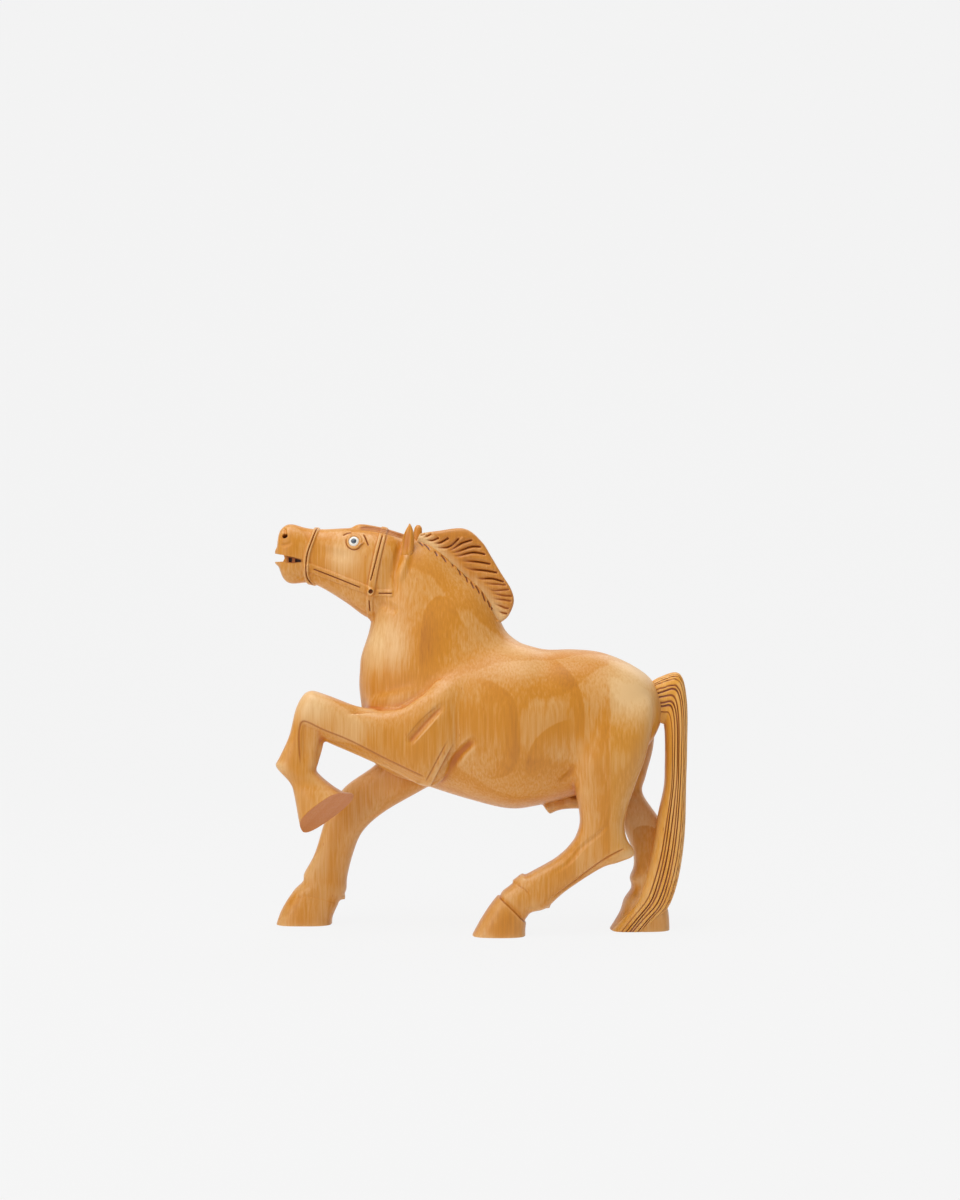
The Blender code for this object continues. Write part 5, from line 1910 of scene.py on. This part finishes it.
@dataclass
class Mane:
    """The standing mane: a thin board, fanned out with gouge cuts on both sides.

    Attributes:
        wood: Its finish.
        thickness: Its thickness across Y.
        voxel: The spacing of its skin's squares.
        easing: How often the skin is eased.
        root: A place on the line where it grows from the neck.
        outward: The way from that line to its rim.
        tones: How dark it is at the root, and how much darker it is at the rim.
        fringe: How far from the root it is as dark as at the rim.
        upper_cuts: How many cuts, from the top, are the deep ones.
        first_cut_shades: How dark the painted shade is in the first cuts, which are the faintest.
    """
    wood: Material
    thickness: float = 7.0
    voxel: float = 0.4
    easing: int = 10
    root: Point = (-28.0, 194.0)
    outward: Point = (0.725, 0.689)
    tones: Point = (-0.42, 0.54)
    fringe: float = 9.0
    upper_cuts: int = 11
    first_cut_shades: tuple[float, float, float] = (0.35, 0.5, 0.7)

    def strokes(self) -> list[Stroke]:
        """The gouge cuts of both sides, which start thin at the root and end wide.

        Returns:
            The strokes.
        """
        half = (-20.0, 0.0)
        strokes = [Stroke([(-15.5, 191.1), (-11.6, 193.4), (-7.6, 196)], 1.0, -0.4, Form.ROUND,
                          y_range=half, taper=(0.3, 0.2))]
        for index, route in enumerate(MANE_CUTS):
            upper = index < self.upper_cuts
            deep = 0.8 if upper else 0.5
            # How dark the painted shade in each cut is.
            dark = 0.95 if upper else 0.6
            if index < len(self.first_cut_shades):
                dark = self.first_cut_shades[index]
            strokes += [
                Stroke(route, 1.7, 0.7 * deep, Form.ROUND, y_range=half, taper=(0.5, 0.1)),
                Stroke(route, 0.7, deep, Form.VEE, y_range=half, taper=(0.6, 0.04), shade_and_varnish=dark),
            ]
        return strokes + [stroke.far() for stroke in strokes]

    def build(self) -> None:
        """Make the mane."""
        board = Limb("board", MANE, self.thickness, 0, 4.0, 0.3)
        mane = fused("carved_mane", [board.body(96, 10)], self.voxel)
        surface = Surface(mane.data)
        surface.smooth(self.easing)
        surface.write()
        strokes = self.strokes()
        refine_near(mane, strokes, longest=0.3)
        surface = Surface(mane.data)
        rise = (surface.places[:, (0, 2)] - self.root) @ self.outward
        surface.tone += self.tones[0] + self.tones[1] * smoothstep(0, self.fringe, rise)
        surface.carve(strokes)
        surface.keep_hollows(fine=16, fine_depth=0.3, broad=60, broad_depth=1.3)
        finish_piece(mane, "mane", self.wood)


@dataclass
class Tail:
    """The long tail, grooved from end to end except where it faces the legs.

    Attributes:
        wood: Its finish.
        width: Its width across Y.
        y: The place of its centre.
        points: How many places there are round it.
        pitch: The distance from one groove to the next.
        groove: How deep a groove is.
        front: Where the grooves fade out towards the legs, as the cosine of the angle.
        back: Where they start to be broken and are broken in full, as the same.
        walls: A groove's edge and its floor, as shares of the way from a lock's middle.
        waver: How far a lock wanders, as a share of the pitch, how often along the tail, and
            the phase from one lock to the next.
        breaks: How often a groove is broken along the tail, how much that varies, and how
            much of its depth is lost there.
        swell: How much a groove's depth varies and how often.
    """
    wood: Material
    width: float = 16.0
    y: float = -2.0
    points: int = 400
    pitch: float = 1.3
    groove: float = 0.5
    front: Point = (0.25, 0.5)
    back: Point = (0.1, 0.6)
    walls: Point = (0.4, 0.85)
    waver: tuple[float, float, float] = (0.16, 9.0, 2.4)
    breaks: tuple[float, float, float] = (130.0, 20.0, 0.7)
    swell: Point = (0.25, 17.0)

    def depths(self, share: float, turns: np.ndarray, angles: np.ndarray) -> np.ndarray:
        """How deep the skin is grooved round one ring, from 0 to 1.

        Args:
            share: The ring's place along the tail, from 0 to 1.
            turns: How many locks each place lies on from the first.
            angles: The angle of each place, in radians.

        Returns:
            A depth for each place.
        """
        wander, rate, phase = self.waver
        waver = wander * np.sin(share * rate + np.floor(turns + 0.5) * phase)
        across = np.abs((turns + waver) % 1.0 - 0.5) * 2
        lock = np.floor(turns + waver)
        often, spread, lost = self.breaks
        broken = 0.5 + 0.5 * np.sin(share * (often + spread * np.sin(lock * 12.9)) + lock * 4.1)
        back = smoothstep(*self.back, -np.cos(angles))
        varied, waves = self.swell
        strength = ((1 - varied + varied * np.sin(share * waves + lock * 2.2))
                    * (1 - lost * back * broken))
        behind = 1 - smoothstep(*self.front, np.cos(angles))
        return smoothstep(*self.walls, across) * behind * strength

    def build(self) -> None:
        """Make the tail."""
        limb = Limb("carved_tail", TAIL, self.width, self.y, 3.0, 0.2)
        rings, angles = limb.rings(self.points, 16)
        middle = rings[len(rings) // 2]
        steps = np.linalg.norm(np.roll(middle, -1, axis=0) - middle, axis=1)
        gone = np.concatenate([[0], np.cumsum(steps)[:-1]])
        count = round(steps.sum() / self.pitch)
        turns = gone / steps.sum() * count
        groove_shades = []
        for row, ring in enumerate(rings):
            depth = self.depths(row / (len(rings) - 1), turns, angles)
            outward = ring - ring.mean(axis=0)
            outward /= np.linalg.norm(outward, axis=1)[:, None]
            ring -= outward * (depth * self.groove)[:, None]
            groove_shades.append(depth)
        tail = object_from("carved_tail", swept(rings))
        surface = Surface(tail.data)
        # Painted shade in the grooves, darker where they are cut deeper.
        surface.keep("shade_and_varnish", np.concatenate(groove_shades)[:len(surface.places)])
        bm = bmesh_of(tail)
        stand_flat(bm)
        write_back(bm, tail)
        finish_piece(tail, "tail", self.wood)


@dataclass
class Studio:
    """A plain pale set-up: floor and backdrop in one sweep, three soft lamps and the camera.

    Attributes:
        distance: The camera's distance from the horse's middle, in metres.
        eye_height: Its height, in metres.
        lens: Its focal length.
        floor_half: Half the floor's depth, in metres.
        paper: The colour of the paper and the surround.
        paper_glow: How much of its own even tone the camera sees of the paper.
        surround: How strongly the surround lights the horse.
        middle: The height of the horse's middle, in metres.
    """
    distance: float = 1.0
    eye_height: float = 0.1645
    lens: float = 60.0
    floor_half: float = 1.6
    paper: str = "#F5F5F5"
    paper_glow: float = 0.96
    surround: float = 0.38
    middle: float = 0.11

    def paper_material(self) -> Material:
        """Matt white paper, seen by the camera at its own even tone, with a faint shadow.

        Returns:
            The material.
        """
        paper, tree, shader = new_material("matt_background_paper", self.paper)
        set_inputs(tree, shader, {"Base Color": linear(self.paper), "Roughness": 0.9})
        glow = add_node(tree, "ShaderNodeEmission", None,
                        {"Color": linear(self.paper), "Strength": 1.0}).outputs[0]
        path = add_node(tree, "ShaderNodeLightPath")
        seen = computed(tree, "MAXIMUM", path.outputs["Is Camera Ray"],
                        path.outputs["Is Glossy Ray"])
        share = computed(tree, "MULTIPLY", seen, self.paper_glow)
        mixed = add_node(tree, "ShaderNodeMixShader", None,
                         {"Fac": share, 1: shader.outputs[0], 2: glow}).outputs[0]
        tree.links.new(mixed, tree.nodes["Material Output"].inputs["Surface"])
        return paper

    def sweep(self) -> None:
        """The floor, turned up behind into the backdrop in one curve."""
        bm = bmesh.new()
        bend = self.floor_half / 2
        front = [bm.verts.new((side * self.floor_half * 2, -self.floor_half, 0))
                 for side in (-1, 1)]
        edges = [bm.edges.new(front)]
        steps = [(0, self.floor_half + bend, 0)]
        facets = 16
        turn = radians(90 / facets)
        for index in range(facets):
            angle = (index + 0.5) * turn
            steps.append((0, bend * turn * cos(angle), bend * turn * sin(angle)))
        steps.append((0, 0, self.floor_half))
        for step in steps:
            made = bmesh.ops.extrude_edge_only(bm, edges=edges)["geom"]
            verts = verts_in(made)
            bmesh.ops.translate(bm, verts=verts, vec=step)
            edges = [edge for edge in edges_in(made)
                     if all(vert in verts for vert in edge.verts)]
        bmesh.ops.recalc_face_normals(bm, faces=bm.faces)
        floor = object_from("floor_and_backdrop", bm)
        floor.data.shade_smooth()
        floor.data.materials.append(self.paper_material())

    def world(self) -> None:
        """An even pale surround."""
        world = bpy.data.worlds.new("studio")
        world.use_nodes = True
        tree = world.node_tree
        background = tree.nodes["Background"]
        path = add_node(tree, "ShaderNodeLightPath")
        strength = ranged(tree, path.outputs["Is Camera Ray"], 0.0, 1.0, self.surround, 1.0,
                          soft=False)
        background.inputs["Color"].default_value = linear(self.paper)
        tree.links.new(strength, background.inputs["Strength"])
        bpy.context.scene.world = world

    def lamp(self, name: str, place: tuple[float, float, float], size: float, watts: float
             ) -> None:
        """A square soft box that points at the horse's middle.

        Args:
            name: Its name.
            place: Where it stands, in metres.
            size: The length of its side, in metres.
            watts: Its power.
        """
        light = bpy.data.lights.new(name, "AREA")
        light.shape = "SQUARE"
        light.size = size
        light.energy = watts
        lamp = bpy.data.objects.new(name, light)
        lamp.location = place
        aim = Vector((0, 0, self.middle)) - Vector(place)
        lamp.rotation_euler = aim.to_track_quat("-Z", "Y").to_euler()
        bpy.context.scene.collection.objects.link(lamp)

    def camera(self) -> None:
        """The camera, level with the horse's shoulder and square to its side."""
        data = bpy.data.cameras.new("camera")
        data.lens = self.lens
        data.clip_start = 0.01
        camera = bpy.data.objects.new("camera", data)
        camera.location = (0, -self.distance, self.eye_height)
        camera.rotation_euler = (radians(90), 0, 0)
        bpy.context.scene.collection.objects.link(camera)
        bpy.context.scene.camera = camera

    def build(self) -> None:
        """Set everything up."""
        bpy.context.scene.view_settings.view_transform = "Standard"
        self.sweep()
        self.world()
        self.lamp("overhead_box", (-0.25, -0.3, 1.1), size=0.8, watts=8.2)
        self.lamp("front_box", (-0.8, -1.0, 0.5), size=0.7, watts=3.6)
        self.lamp("back_box", (0.5, 0.7, 1.1), size=0.8, watts=3.5)
        self.camera()


def main() -> None:
    """Build the horse and its studio."""
    logging.basicConfig(level=logging.INFO, format="%(message)s")
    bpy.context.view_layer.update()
    wood = CarvedWood("limewood_carved_and_varnished").material()
    rump_wood = CarvedWood("limewood_carved_and_varnished_pale", middle="#D18C28",
                           late="#AA6210", pith=(40.0, 120.0)).material()
    body = CarvedBody(wood, rump_wood)
    blocks = body.build()
    Face(Inlay("polyester_white_polished", "#F1EFE8", "#E4E0D4").material(),
         Inlay("polyester_blue_grey_polished", "#2B3440", "#5D6B7C").material()
         ).build(blocks["head"])
    body.dress(blocks)
    Mane(CarvedWood("limewood_gouged_and_stained", early="#EBC084", middle="#CC8226",
                    wear_and_highlight="#EDC080").material()).build()
    Tail(CarvedWood("limewood_grooved_and_varnished", early="#F6CE8E", middle="#E8A43C",
                    late="#C67A1C", line="#5A1E06").material()).build()
    Ears(wood).build()
    beech = CarvedWood("beech_turned_plain", early="#CFAE86", middle="#C7A278", late="#BF976B",
                       ring_spacing=1.6, fibre_width=0.5, fibre_length=6.0,
                       roughness=0.6).material()
    for name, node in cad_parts.items():
        if name.endswith("_dowel") or "_dowel_" in name:
            node.data.materials.clear()
            node.data.materials.append(beech)
    Studio().build()


if __name__ == "__main__":
    main()
